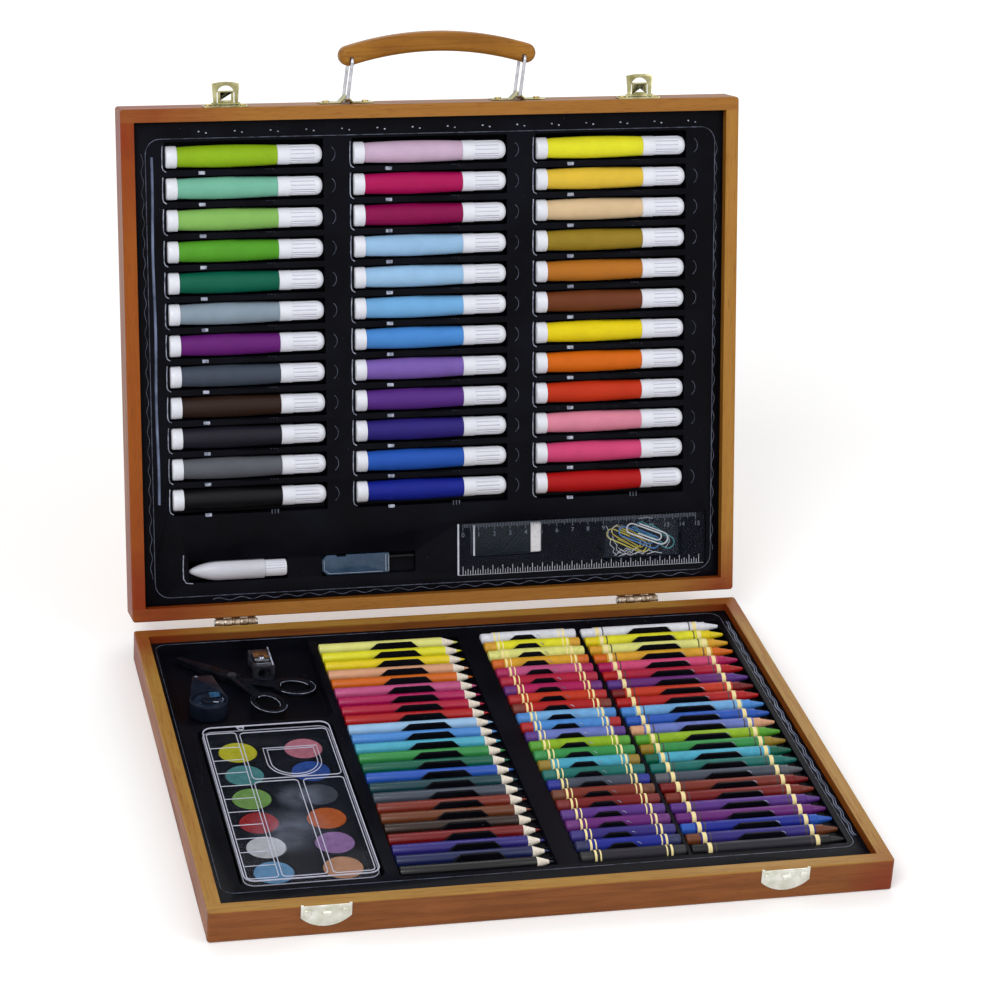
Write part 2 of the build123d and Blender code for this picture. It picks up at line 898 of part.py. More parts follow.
def scissors_half(side, level):
    """One half about its rivet: the blade points along -X, the finger loop lies to one side."""
    half = blade_width / 2
    middle = blade_middle_width / 2
    tip = blade_tip_width / 2
    blade = Polyline(
        (half, -half), (half, half), (-blade_middle, middle), (-blade_length, tip),
        (-blade_length, -tip), (-blade_middle, -middle), close=True,
    )
    face = make_face(blade)
    turn = Rot(0, 0, side * scissors_spread)
    arm_end = scissors_reach - finger_loop_length / 2 + finger_loop_rim / 2
    arm = Pos(arm_end / 2, 0) * Rectangle(arm_end, scissors_arm_width)
    ring = Ellipse(finger_loop_length / 2, finger_loop_width / 2)
    ring -= Ellipse(finger_loop_length / 2 - finger_loop_rim, finger_loop_width / 2 - finger_loop_rim)
    face = face + turn * arm + turn * Pos(scissors_reach, 0) * ring
    face -= Circle(rivet_radius + rivet_play)
    return Pos(0, 0, level) * extrude(face, scissors_layer)


def place_scissors(piece):
    return Pos(scissors_x, scissors_y, tool_rest + rivet_head_height) * Rot(0, 0, scissors_angle) * piece


def scissors_rivet():
    height = 2 * scissors_layer + scissors_layer_gap
    rivet = Pos(0, 0, height / 2) * Cylinder(rivet_radius, height)
    rivet += Pos(0, 0, height + rivet_head_height / 2) * Cylinder(rivet_head_radius, rivet_head_height)
    rivet += Pos(0, 0, -rivet_head_height / 2) * Cylinder(rivet_head_radius, rivet_head_height)
    return rivet


sharpener_place = Pos(
    -half_inner_width + sharpener_from_left,
    half_inner_depth - sharpener_from_back,
    tool_rest,
)


def sharpener_body():
    """A wedge sharpener, its pencil bore along Y and its flat cutter seat on top."""
    half = sharpener_width / 2
    long = sharpener_length / 2
    side = Polyline(
        (-long, 0), (long, 0), (long, sharpener_height - sharpener_slope), (-long, sharpener_height),
        close=True,
    )
    body = extrude(Plane.YZ * make_face(side), half, both=True)
    waist = Cylinder(sharpener_waist_radius, 3 * sharpener_height)
    for side_sign in (-1, 1):
        body -= Pos(side_sign * (half + sharpener_waist_radius - sharpener_waist), 0, 0) * waist
    bore = Rot(90, 0, 0) * Cylinder(sharpener_bore_radius, sharpener_bore_depth)
    level = sharpener_height / 2 - sharpener_bore_drop
    body -= Pos(0, -long + sharpener_bore_depth / 2, level) * bore
    slot = block(
        -half, -half + sharpener_slot, -sharpener_slot_front, sharpener_slot_back,
        level, 2 * sharpener_height,
    )
    return sharpener_place * (body - slot)


def cutter_place():
    """The middle of the sharpener's sloping top."""
    tilt = -degrees(atan2(sharpener_slope, sharpener_length))
    return sharpener_place * Pos(0, 0, sharpener_height - sharpener_slope / 2) * Rot(tilt, 0, 0)


def sharpener_blade():
    half = sharpener_width / 2 - sharpener_waist - cutter_side_gap
    blade = block(-half, half, -cutter_length / 2, cutter_length / 2, 0, cutter_thickness)
    return cutter_place() * blade


def sharpener_screw():
    z = cutter_thickness + cutter_screw_height / 2
    return cutter_place() * Pos(0, 0, z) * Cylinder(cutter_screw_radius, cutter_screw_height)


dispenser_place = Pos(
    -half_inner_width + dispenser_from_left,
    half_inner_depth - dispenser_from_back,
    tool_rest,
)


def tape_dispenser():
    """A teardrop shell, open at the top, that holds a small roll of tape."""
    round_end = Cylinder(dispenser_radius, dispenser_height)
    nose_half = dispenser_nose_width / 2
    shoulder = dispenser_shoulder_width / 2
    nose = Polyline(
        (-shoulder, 0), (shoulder, 0), (nose_half, dispenser_nose), (-nose_half, dispenser_nose),
        close=True,
    )
    nose = Pos(0, 0, -dispenser_height / 2) * extrude(make_face(nose), dispenser_height)
    shell = round_end + nose
    cavity = Pos(0, 0, dispenser_wall) * Cylinder(tape_radius + 2 * seat_gap, dispenser_height)
    post_height = dispenser_height - dispenser_wall
    post = Pos(0, 0, dispenser_wall / 2) * Cylinder(tape_core_radius - seat_gap, post_height)
    return dispenser_place * Pos(0, 0, dispenser_height / 2) * (shell - cavity + post)


def tape_roll():
    roll = Cylinder(tape_radius, tape_height) - Cylinder(tape_core_radius, tape_height)
    return dispenser_place * Pos(0, 0, dispenser_wall + seat_gap + tape_height / 2) * roll


# Markers, in the lid's own frame

marker_free_width = inner_width - marker_columns * marker_length
marker_gaps = [share * marker_free_width / sum(marker_gap_shares) for share in marker_gap_shares]
marker_xs = [
    -half_inner_width + sum(marker_gaps[: column + 1]) + column * marker_length
    for column in range(marker_columns)
]
lid_row_pitch = (inner_depth - lid_back_margin - lid_front_margin) / lid_row_count
lid_rows = [
    half_inner_depth - lid_back_margin - lid_row_pitch * (row + 0.5) for row in range(lid_row_count)
]
marker_level = lid_height - marker_rim_drop - marker_radius
marker_floor = marker_level - marker_radius - seat_gap
marker_well = (
    marker_xs[0] - side_gap,
    marker_xs[-1] + marker_length + side_gap,
    -half_inner_depth + lid_front_margin,
    half_inner_depth - lid_back_margin,
    marker_floor,
    well_corner_radius,
)


def at_markers(piece):
    return group([Pos(x, y, marker_level) * piece for x in marker_xs for y in lid_rows])


def marker_plug():
    return turned_x([
        (0, 0), (0, plug_radius - plug_chamfer), (plug_chamfer, plug_radius),
        (plug_length, plug_radius), (plug_length, 0),
    ])


def marker_barrel():
    """A barrel with a slight swell between two pinched ends."""
    start = plug_length
    end = plug_length + barrel_length
    middle = (start + end) / 2
    outline = [
        Line((start, 0), (start, marker_waist_radius)),
        ThreePointArc((start, marker_waist_radius), (middle, marker_radius), (end, marker_waist_radius)),
        Line((end, marker_waist_radius), (end, 0)),
        Line((end, 0), (start, 0)),
    ]
    return revolve(make_face(outline), Axis.X)


def marker_cap():
    """A cap with a plain sleeve and a domed end."""
    start = plug_length + barrel_length
    shoulder = start + cap_sleeve_length
    dome = marker_length - cap_dome_length
    thin = cap_radius - cap_step
    dome_radius = (thin**2 + cap_dome_length**2) / (2 * cap_dome_length)
    half_turn = atan2(thin, dome_radius - cap_dome_length) / 2
    dome_centre = marker_length - dome_radius
    dome_middle = (dome_centre + dome_radius * cos(half_turn), dome_radius * sin(half_turn))
    outline = [
        Line((start, 0), (start, cap_radius)),
        Line((start, cap_radius), (shoulder, cap_radius)),
        Line((shoulder, cap_radius), (shoulder, thin)),
        Line((shoulder, thin), (dome, thin)),
        ThreePointArc((dome, thin), dome_middle, (marker_length, 0)),
        Line((marker_length, 0), (start, 0)),
    ]
    return revolve(make_face(outline), Axis.X)


# Small items of the lid, in the lid's own frame

low_row_y = -half_inner_depth + low_row_margin
pen_x = -half_inner_width + pen_start
pen_level = marker_floor + seat_gap + pen_radius
pen_well = (
    pen_x - side_gap,
    pen_x + pen_length + side_gap,
    low_row_y - pen_radius - side_gap,
    low_row_y + pen_radius + side_gap,
    marker_floor,
    well_corner_radius,
)


def pen_body():
    """A correction pen's body, whose rounded nose points left."""
    end = pen_length - pen_cap_length
    swell = (pen_nose_swell, pen_nose_swell_radius)
    outline = [
        Line((0, 0), (0, pen_nose_tip_radius)),
        ThreePointArc((0, pen_nose_tip_radius), swell, (pen_nose_length, pen_radius)),
        Line((pen_nose_length, pen_radius), (end, pen_radius)),
        Line((end, pen_radius), (end, 0)),
        Line((end, 0), (0, 0)),
    ]
    return Pos(pen_x, low_row_y, pen_level) * revolve(make_face(outline), Axis.X)


def pen_cap():
    rod = rod_x(pen_cap_radius, pen_length - pen_cap_length, pen_length)
    rod = chamfer(rod.edges().group_by(Axis.X)[-1], pen_cap_chamfer)
    return Pos(pen_x, low_row_y, pen_level) * rod


brush_x = -half_inner_width + brush_start
brush_floor = lid_flange_level - brush_handle_thickness
brush_length = brush_handle_length + brush_rod_length
brush_well = (
    brush_x - side_gap,
    brush_x + brush_length + side_gap,
    low_row_y - brush_handle_width / 2 - side_gap,
    low_row_y + brush_handle_width / 2 + side_gap,
    brush_floor,
    well_corner_radius,
)


def brush_handle():
    """A flat clear handle with a bevelled left corner and a notch in its upper side."""
    half = brush_handle_width / 2
    outline = Polyline(
        (brush_bevel, -half), (brush_handle_length, -half), (brush_handle_length, half),
        (brush_bevel, half), (0, half - brush_bevel), (0, brush_bevel - half), close=True,
    )
    handle = extrude(make_face(outline), brush_handle_thickness)
    handle = fillet(handle.edges().filter_by(Axis.Z), brush_corner_radius)
    notch_end = brush_notch_start + brush_notch_length
    handle -= block(
        brush_notch_start, notch_end, half - brush_notch_depth, half, 0, brush_handle_thickness
    )
    return Pos(brush_x, low_row_y, brush_floor + seat_gap) * handle


def brush_rod():
    """The dark rod that stands out of the handle's right end."""
    x = brush_x + brush_handle_length
    level = brush_floor + seat_gap + brush_handle_thickness / 2
    rod = rod_x(brush_rod_radius, 0, brush_rod_length)
    return Pos(x, low_row_y + brush_rod_offset, level) * rod


ruler_x = half_inner_width - ruler_from_right - ruler_length
ruler_y = -half_inner_depth + ruler_from_front
ruler_shelf = ruler_level - seat_gap
eraser_x = ruler_x + eraser_inset
eraser_y = ruler_y + (ruler_width - eraser_width) / 2 + eraser_offset
eraser_floor = ruler_shelf - eraser_height - 2 * seat_gap
bag_x = ruler_x + bag_inset
bag_y = ruler_y + (ruler_width - bag_width) / 2 + bag_offset
bag_floor = ruler_shelf - bag_height - 2 * seat_gap
ruler_well = (
    ruler_x - side_gap,
    ruler_x + ruler_length + side_gap,
    ruler_y - side_gap,
    ruler_y + ruler_width + side_gap,
    ruler_shelf,
    well_corner_radius,
)
eraser_well = (
    eraser_x - side_gap,
    eraser_x + eraser_length + side_gap,
    eraser_y - side_gap,
    eraser_y + eraser_width + side_gap,
    eraser_floor,
    well_corner_radius,
)
bag_well = (
    bag_x - side_gap,
    bag_x + bag_length + side_gap,
    bag_y - side_gap,
    bag_y + bag_width + side_gap,
    bag_floor,
    well_corner_radius,
)


def ruler():
    """A clear ruler whose front edge is bevelled."""
    outline = Polyline(
        (0, 0), (0, ruler_bevel_edge), (ruler_bevel, ruler_thickness), (ruler_width, ruler_thickness),
        (ruler_width, 0), close=True,
    )
    blade = extrude(Plane.YZ * make_face(outline), ruler_length)
    return Pos(ruler_x, ruler_y, ruler_level) * blade


def eraser_block():
    """The eraser, a little thinner inside its sleeve."""
    block_size = eraser_width - 2 * eraser_sleeve_wall
    height = eraser_height - 2 * eraser_sleeve_wall
    shape = Box(eraser_length, block_size, height)
    shape = fillet(shape.edges(), eraser_edge_radius)
    return eraser_place() * shape


def eraser_place():
    return Pos(
        eraser_x + eraser_length / 2,
        eraser_y + eraser_width / 2,
        eraser_floor + seat_gap + eraser_height / 2,
    )


def eraser_sleeve():
    outer = Box(eraser_sleeve_length, eraser_width, eraser_height)
    wall = 2 * eraser_sleeve_wall
    inner = Box(eraser_sleeve_length, eraser_width - wall, eraser_height - wall)
    shift = (eraser_sleeve_length - eraser_length) / 2
    return eraser_place() * Pos(shift, 0, 0) * (outer - inner)


def bag_place():
    return Pos(bag_x + bag_length / 2, bag_y + bag_width / 2, bag_floor + seat_gap)


def clip_bag():
    """A closed clear bag, as a thin hollow cushion."""
    outer = Pos(0, 0, bag_height / 2) * Box(bag_length, bag_width, bag_height)
    outer = fillet(outer.edges(), bag_edge_radius)
    wall = 2 * bag_wall
    inner = Box(bag_length - wall, bag_width - wall, bag_height - wall)
    inner = fillet(inner.edges(), bag_edge_radius - bag_wall)
    return bag_place() * (outer - Pos(0, 0, bag_height / 2) * inner)


def wire_clip():
    """A flat paper clip of one bent wire, in the X-Y plane."""
    long = clip_length / 2
    wide = clip_width / 2
    inner = wide - clip_bend_gap
    path = FilletPolyline(
        (-clip_start, wide), (long, wide), (long, -wide), (-long, -wide), (-long, inner),
        (clip_inner_end, inner), (clip_inner_end, -inner), (-clip_inner_start, -inner),
        radius=clip_bend_radius,
    )
    section = Plane(origin=path @ 0, z_dir=path % 0) * Circle(clip_wire_radius)
    return sweep(section, path=path)


def paper_clips():
    """A small stack of clips, each turned a little from the last."""
    clips = []
    for index in range(clip_count):
        turn = clip_first_turn + clip_turn_step * index
        lift = bag_wall + clip_wire_radius + clip_seat_gap + clip_rise * index
        spread = (index % 3 - 1) * clip_spread
        place = bag_place() * Pos(spread, 0, lift) * Rot(0, 0, turn)
        clips.append(place * wire_clip())
    return group(clips)


def lid_tray():
    """The lid's tray, with ridges between the markers and low tabs on them."""
    wells = [marker_well, pen_well, brush_well, ruler_well, eraser_well, bag_well]
    tray = tray_shell(lid_flange_level, wells)
    ridge = lid_row_pitch - 2 * marker_radius - 2 * marker_ridge_play
    pieces = []
    for column in range(1, marker_columns):
        x0 = marker_xs[column - 1] + marker_length + side_gap
        x1 = marker_xs[column] - side_gap
        pieces.append(block(x0, x1, *marker_well[2:4], marker_floor, lid_flange_level))
    for row in range(lid_row_count - 1):
        y = lid_rows[row] - lid_row_pitch / 2
        y_sides = (y - ridge / 2, y + ridge / 2)
        pieces.append(block(*marker_well[:2], *y_sides, marker_floor, lid_flange_level))
        for x in marker_xs:
            start = x + marker_tab_middle - marker_tab_length / 2
            end = start + marker_tab_length
            pieces.append(
                row_tab(
                    start, end, y, marker_tab_thickness, lid_flange_level,
                    lid_flange_level + marker_tab_rise, marker_tab_shoulder,
                )
            )
    return tray.fuse(*pieces)


def lid_front(piece, x, z, out):
    """Places a piece built about +Y on the lid's front face, which looks along +Y there."""
    return in_lid(Pos(x, half_depth + out, z) * piece)


latch_level = lid_height - latch_pivot_drop
lean_x = ring_length * sin(radians(handle_lean))
lean_y = ring_length * cos(radians(handle_lean))


def main():
    os.makedirs("parts", exist_ok=True)
    parts = {
        "base_front_rail": long_rail(-1, base_height, keeper_places),
        "base_back_rail": long_rail(1, base_height, base_hinge_places),
        "base_left_rail": side_rail(-1, base_height),
        "base_right_rail": side_rail(1, base_height),
        "base_panel": panel_seat(),
        "base_tray": base_tray(),
        "base_screws": group([
            place * wood_screw() for place in base_hinge_places + keeper_places
        ]),
        "keepers": group([
            Pos(x, -half_depth, base_height - keeper_rim_drop) * keeper() for x in pair(latch_spacing)
        ]),
        "pencil_barrels": pencil_barrels(),
        "pencil_cones": pencil_cones(),
        "pencil_leads": pencil_leads(),
        "palette_base": palette_base(),
        "palette_cover": palette_cover(),
        "paint_pans": paint_pans(),
        "scissors_lower": place_scissors(scissors_half(1, 0)),
        "scissors_upper": place_scissors(scissors_half(-1, scissors_layer + scissors_layer_gap)),
        "scissors_rivet": place_scissors(scissors_rivet()),
        "sharpener_body": sharpener_body(),
        "sharpener_blade": sharpener_blade(),
        "sharpener_screw": sharpener_screw(),
        "tape_dispenser": tape_dispenser(),
        "tape_roll": tape_roll(),
        "lid_front_rail": in_lid(long_rail(1, lid_height, latch_places + bracket_places)),
        "lid_back_rail": in_lid(long_rail(-1, lid_height, lid_hinge_places)),
        "lid_left_rail": in_lid(side_rail(-1, lid_height)),
        "lid_right_rail": in_lid(side_rail(1, lid_height)),
        "lid_panel": in_lid(panel_seat()),
        "lid_tray": in_lid(lid_tray()),
        "lid_screws": in_lid(group([
            place * wood_screw() for place in lid_hinge_places + latch_places + bracket_places
        ])),
        "marker_plugs": in_lid(at_markers(marker_plug())),
        "marker_barrels": in_lid(at_markers(marker_barrel())),
        "marker_caps": in_lid(at_markers(marker_cap())),
        "pen_body": in_lid(pen_body()),
        "pen_cap": in_lid(pen_cap()),
        "brush_handle": in_lid(brush_handle()),
        "brush_rod": in_lid(brush_rod()),
        "ruler": in_lid(ruler()),
        "eraser": in_lid(eraser_block()),
        "eraser_sleeve": in_lid(eraser_sleeve()),
        "clip_bag": in_lid(clip_bag()),
        "paper_clips": in_lid(paper_clips()),
        "handle_grip": lid_front(handle_grip(), lean_x, lid_height / 2, ring_pivot_height + lean_y),
    }
    parts["pastel_sticks"], parts["pastel_wrappers"] = pastels()
    parts["crayon_sticks"], parts["crayon_wrappers"] = crayons()
    even = range(0, knuckle_count, 2)
    odd = range(1, knuckle_count, 2)
    pins = []
    brackets = []
    plates = []
    for name, side in (("left", -1), ("right", 1)):
        x = side * hinge_spacing / 2
        axis = Pos(x, half_depth + hinge_offset, axis_level)
        lid_axis = Pos(x, -half_depth - hinge_offset, lid_axis_level) * Rot(0, 0, 180)
        parts[f"hinge_{name}_base_leaf"] = axis * hinge_leaf(even)
        parts[f"hinge_{name}_lid_leaf"] = in_lid(lid_axis * hinge_leaf(odd))
        pins.append(axis * hinge_pin())
        latch_x = side * latch_spacing / 2
        plates.append(lid_front(latch_plate(), latch_x, latch_level, latch_pivot_out))
        parts[f"latch_{name}_loop"] = lid_front(latch_loop(), latch_x, latch_level, latch_pivot_out)
        parts[f"latch_{name}_lever"] = lid_front(latch_lever(), latch_x, latch_level, latch_pivot_out)
        handle_x = side * handle_spacing / 2
        brackets.append(lid_front(handle_bracket(), handle_x, lid_height / 2, 0))
        ring = Rot(0, 0, -handle_lean) * wire_ring()
        parts[f"handle_ring_{name}"] = lid_front(ring, handle_x, lid_height / 2, ring_pivot_height)
    parts["hinge_pins"] = group(pins)
    parts["handle_brackets"] = group(brackets)
    parts["latch_plates"] = group(plates)
    for name, shape in parts.items():
        export_step(shape, f"parts/{name}.step")


main()
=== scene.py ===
import json
import math
import bpy
from mathutils import Matrix, Vector, noise


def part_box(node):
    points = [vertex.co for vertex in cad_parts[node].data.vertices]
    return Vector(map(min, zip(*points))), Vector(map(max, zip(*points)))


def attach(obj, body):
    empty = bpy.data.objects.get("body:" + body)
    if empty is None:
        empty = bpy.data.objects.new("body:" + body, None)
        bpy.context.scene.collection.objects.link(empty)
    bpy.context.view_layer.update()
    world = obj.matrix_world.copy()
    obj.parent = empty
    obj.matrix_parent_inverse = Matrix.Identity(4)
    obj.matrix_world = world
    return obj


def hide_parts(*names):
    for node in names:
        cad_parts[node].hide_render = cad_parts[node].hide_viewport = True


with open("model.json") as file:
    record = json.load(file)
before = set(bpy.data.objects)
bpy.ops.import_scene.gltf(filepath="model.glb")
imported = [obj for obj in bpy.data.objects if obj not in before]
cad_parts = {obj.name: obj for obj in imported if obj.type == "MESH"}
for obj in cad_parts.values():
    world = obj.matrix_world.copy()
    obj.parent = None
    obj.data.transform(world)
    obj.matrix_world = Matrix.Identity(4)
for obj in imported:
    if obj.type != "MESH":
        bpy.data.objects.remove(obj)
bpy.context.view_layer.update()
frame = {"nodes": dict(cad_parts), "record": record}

# Metres, +Z up, in the frame of the solid parts
mm = 0.001
nodes_of_case = frame["nodes"]
bodies_of_case = frame["record"]["behaviour"]["bodies"]
base_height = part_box("base_front_rail")[1].z
half_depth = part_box("base_back_rail")[1].y
half_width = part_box("base_front_rail")[1].x
rail_width = 8 * mm
lid_height = 26 * mm
inner_x = half_width - rail_width
inner_y = half_depth - rail_width
hinge_offset = 3 * mm
rim_gap = 0.4 * mm
open_angle = math.radians(105)
hinge_line = Vector((0, half_depth + hinge_offset, base_height + rim_gap / 2))
lid_turn = math.pi - open_angle
LID = (
    Matrix.Translation(hinge_line)
    @ Matrix.Rotation(lid_turn, 4, "X")
    @ Matrix.Translation((0, half_depth + hinge_offset, -lid_height - rim_gap / 2))
)
LID_BACK = LID.inverted()
HERE = Matrix.Identity(4)

# Paint, ink and wax colours, as a colour chart shows them
PAINTS = {
    "white": (226, 228, 238), "pale yellow": (226, 226, 130), "lemon": (226, 222, 40),
    "yellow": (230, 206, 20), "golden": (216, 160, 40), "warm yellow": (222, 186, 60),
    "peach": (216, 160, 124), "orange": (208, 100, 16), "red orange": (190, 50, 20),
    "rose": (190, 80, 130), "pale lilac": (200, 172, 198),
    "light pink": (220, 134, 156), "pink": (208, 70, 118), "magenta": (168, 16, 84), "wine": (132, 8, 72),
    "crimson": (170, 16, 54), "red": (172, 20, 22), "dark red": (112, 14, 16), "red brown": (116, 40, 26),
    "brown": (104, 54, 28), "dark brown": (44, 28, 22), "ochre": (176, 108, 34), "olive": (146, 120, 34),
    "beige": (214, 186, 146), "lime": (140, 178, 26), "pale teal": (116, 182, 158),
    "pale green": (132, 182, 92),
    "green": (82, 154, 40), "mid green": (48, 138, 70), "dark green": (8, 92, 70), "teal": (20, 104, 98),
    "dark teal": (20, 60, 70), "cyan": (74, 168, 196), "pale blue": (150, 190, 226),
    "light blue": (112, 170, 220),
    "sky": (72, 136, 208), "blue": (36, 84, 178), "deep blue": (20, 34, 138), "periwinkle": (102, 118, 190),
    "lilac": (120, 92, 172), "violet": (84, 44, 128), "purple": (98, 30, 112), "indigo": (44, 34, 116),
    "navy": (20, 30, 78), "mist": (134, 150, 164), "slate": (64, 72, 86), "grey": (90, 92, 100),
    # groove is painted shade for the grooves of the white caps
    "charcoal": (30, 28, 38), "black": (12, 12, 16), "groove": (190, 190, 208),
    "clip gold": (196, 180, 50), "clip yellow": (226, 218, 90), "clip teal": (50, 140, 146),
    "pen grey": (202, 203, 213), "pool": (84, 158, 162), "mauve": (166, 126, 188),
}
MARKER_INKS = [
    ["lime", "pale teal", "pale green", "green", "dark green", "mist",
     "purple", "slate", "dark brown", "charcoal", "grey", "black"],
    ["pale lilac", "magenta", "wine", "pale blue", "pale blue", "light blue",
     "sky", "lilac", "violet", "indigo", "blue", "deep blue"],
    ["lemon", "warm yellow", "beige", "olive", "ochre", "brown",
     "yellow", "orange", "red orange", "light pink", "pink", "red"],
]
PENCIL_PAINTS = [
    "pale yellow", "lemon", "yellow", "peach", "orange", "rose", "magenta", "crimson", "red", "pale blue",
    "sky", "cyan", "mid green", "dark green", "blue", "dark teal", "slate", "red brown", "brown",
    "dark brown", "dark red", "indigo", "navy", "black",
]
PASTEL_PAINTS = [
    "white", "lemon", "pale yellow", "golden", "rose", "crimson", "magenta", "red orange", "red",
    "light blue", "sky", "periwinkle", "lime", "mid green", "cyan", "teal", "slate", "red brown",
    "dark red", "violet", "purple", "indigo", "deep blue", "charcoal",
]
PASTEL_ENDS = [
    "white", "golden", "pale yellow", "orange", "magenta", "crimson", "purple", "red", "red brown",
    "sky", "red", "violet", "green", "mid green", "olive", "teal", "deep blue", "brown",
    "dark red", "violet", "purple", "indigo", "navy", "black",
]
CRAYON_PAINTS = [
    "white", "lemon", "pale yellow", "golden", "pink", "crimson", "purple", "red orange", "red",
    "light blue", "blue", "periwinkle", "lime", "mid green", "cyan", "teal", "slate", "red brown",
    "dark red", "violet", "purple", "deep blue", "indigo", "charcoal",
]
CRAYON_ENDS = [
    "white", "yellow", "golden", "orange", "magenta", "red", "violet", "dark red", "red",
    "sky", "blue", "peach", "green", "olive", "dark green", "teal", "grey", "dark red",
    "red brown", "violet", "purple", "blue", "brown", "black",
]
PAN_PAINTS = [
    ("light blue", "peach"), ("white", "mauve"), ("red", "orange"),
    ("pale green", "slate"), ("pool", "blue"), ("lemon", "light pink"),
]
CLIP_PAINTS = ["clip yellow", "clip gold", "sky", "clip teal", "white"]

# Painted highlights along creases in the bag's film, in millimetres in the lid's own frame
BAG_CREASES = [
    [(109.6, -112, 15.6), (111.0, -115, 16.0), (110.6, -118, 16.2), (112.4, -121, 16.4),
     (112.0, -124, 16.4)],
    [(112.0, -124, 16.4), (114.6, -126.6, 16.8), (114.0, -129, 16.4), (116.6, -131, 16.2)],
    [(113.6, -118.6, 16.6), (114.4, -122, 17.0), (116.4, -124.6, 17.0), (116.0, -127.4, 16.8),
     (118.8, -130, 16.6)],
    [(116.8, -129.4, 16.6), (119.4, -127.4, 17.0), (121.0, -129.2, 16.8), (123.6, -127.4, 17.0),
     (125.4, -129.6, 16.8)],
    [(115.0, -131.4, 16.0), (118.6, -129.0, 16.6), (121.4, -131.2, 16.2), (124.8, -129.0, 16.6),
     (127.4, -131, 16.2)],
    [(118.0, -132.2, 15.4), (121.8, -130.2, 16.2), (125.6, -131.8, 15.8), (130, -129.8, 16.2),
     (134, -131.4, 15.8)],
    [(117.4, -126.4, 17.0), (120.2, -128.6, 17.0), (122.6, -126.6, 17.0), (126.2, -128.4, 17.0),
     (129.4, -127, 16.8)],
    [(120.4, -131.8, 15.8), (123.0, -127.8, 17.0), (124.2, -131.4, 16.0), (127.6, -128.2, 16.8)],
    [(128.4, -131.2, 16.0), (131.8, -128.8, 16.6), (133.4, -130.8, 16.2), (137.0, -128.6, 16.6),
     (140.6, -130.4, 16.0)],
    [(136.4, -131.6, 15.6), (141.4, -130.2, 16.0), (146.2, -131.4, 15.6)],
    [(112.8, -116.2, 16.2), (113.6, -113.6, 16.2), (116.8, -111.6, 16.0)],
    [(148.4, -127.8, 16.2), (150.8, -124.0, 16.4), (150.2, -120.2, 16.4)],
    [(131, -108.6, 15.4), (136, -107.9, 15.2), (140, -108.8, 15.4)],
]

# Patches of painted reflection on the palette's cover, each with its reach
PAINTED_REFLECTION_SPOTS = [((-131.7 * mm, -70.6 * mm, 12 * mm), 26 * mm), ((-120.5 * mm, -36.1 * mm, 12 * mm), 15 * mm)]


# Colours and material nodes

def tone(red, green, blue):
    """A colour of a chart, 0 to 255, as the light that it sends back."""
    parts = [value / 255 for value in (red, green, blue)]
    return tuple(c / 12.92 if c < 0.04045 else ((c + 0.055) / 1.055) ** 2.4 for c in parts) + (1.0,)


class Finish:
    """A material whose nodes are laid one by one."""

    def __init__(self, name, **sockets):
        self.material = bpy.data.materials.new(name)
        self.material.use_nodes = True
        self.tree = self.material.node_tree
        self.shader = self.tree.nodes["Principled BSDF"]
        self.coordinates = self.tree.nodes.new("ShaderNodeTexCoord")
        for socket, value in sockets.items():
            self.shader.inputs[socket.replace("_", " ")].default_value = value

    def node(self, kind, **settings):
        made = self.tree.nodes.new("ShaderNode" + kind)
        for setting, value in settings.items():
            setattr(made, setting, value)
        return made

    def feed(self, socket, value):
        """Links an output to an input, or sets the input to a plain value."""
        if isinstance(value, bpy.types.NodeSocket):
            self.tree.links.new(value, socket)
        else:
            socket.default_value = value

    def place(self, scale=(1, 1, 1), lid=False):
        """Where a point lies, in the lid's own directions if asked, stretched by a scale."""
        vector = self.coordinates.outputs["Object"]
        if lid:
            turned = self.node("Mapping")
            turned.inputs["Rotation"].default_value = (-lid_turn, 0, 0)
            turned.inputs["Location"].default_value = LID_BACK.translation
            self.feed(turned.inputs["Vector"], vector)
            vector = turned.outputs["Vector"]
        stretched = self.node("Mapping")
        stretched.inputs["Scale"].default_value = scale
        self.feed(stretched.inputs["Vector"], vector)
        return stretched.outputs["Vector"]

    def noise(self, vector, scale, detail=4.0, distortion=0.0):
        made = self.node("TexNoise")
        made.inputs["Scale"].default_value = scale
        made.inputs["Detail"].default_value = detail
        made.inputs["Distortion"].default_value = distortion
        self.feed(made.inputs["Vector"], vector)
        return made.outputs["Fac"]

    def spread(self, value, low, high, to_low=0.0, to_high=1.0):
        """Spreads a value between two limits over a new range, and stops at its ends."""
        made = self.node("MapRange")
        for index, limit in enumerate((low, high, to_low, to_high), start=1):
            made.inputs[index].default_value = limit
        self.feed(made.inputs[0], value)
        return made.outputs[0]

    def mix(self, share, first, second, way="MIX"):
        made = self.node("Mix", data_type="RGBA", blend_type=way)
        self.feed(made.inputs[0], share)
        self.feed(made.inputs[6], first)
        self.feed(made.inputs[7], second)
        return made.outputs[2]

    def math(self, way, first, second):
        made = self.node("Math", operation=way)
        self.feed(made.inputs[0], first)
        self.feed(made.inputs[1], second)
        return made.outputs[0]

    def near(self, vector, spot, low, high, to_low, to_high):
        """Spreads the distance from a spot, from one value close to it to another further away."""
        made = self.node("VectorMath", operation="DISTANCE")
        self.feed(made.inputs[0], vector)
        made.inputs[1].default_value = spot
        return self.spread(made.outputs["Value"], low, high, to_low, to_high)

    def split(self, vector):
        made = self.node("SeparateXYZ")
        self.feed(made.inputs[0], vector)
        return made.outputs

    def skin(self, height, strength, distance):
        """An uneven skin from a height."""
        made = self.node("Bump")
        made.inputs["Strength"].default_value = strength
        made.inputs["Distance"].default_value = distance
        self.feed(made.inputs["Height"], height)
        self.feed(self.shader.inputs["Normal"], made.outputs["Normal"])

    def colour(self, value):
        self.feed(self.shader.inputs["Base Color"], value)

    def roughness(self, value):
        self.feed(self.shader.inputs["Roughness"], value)


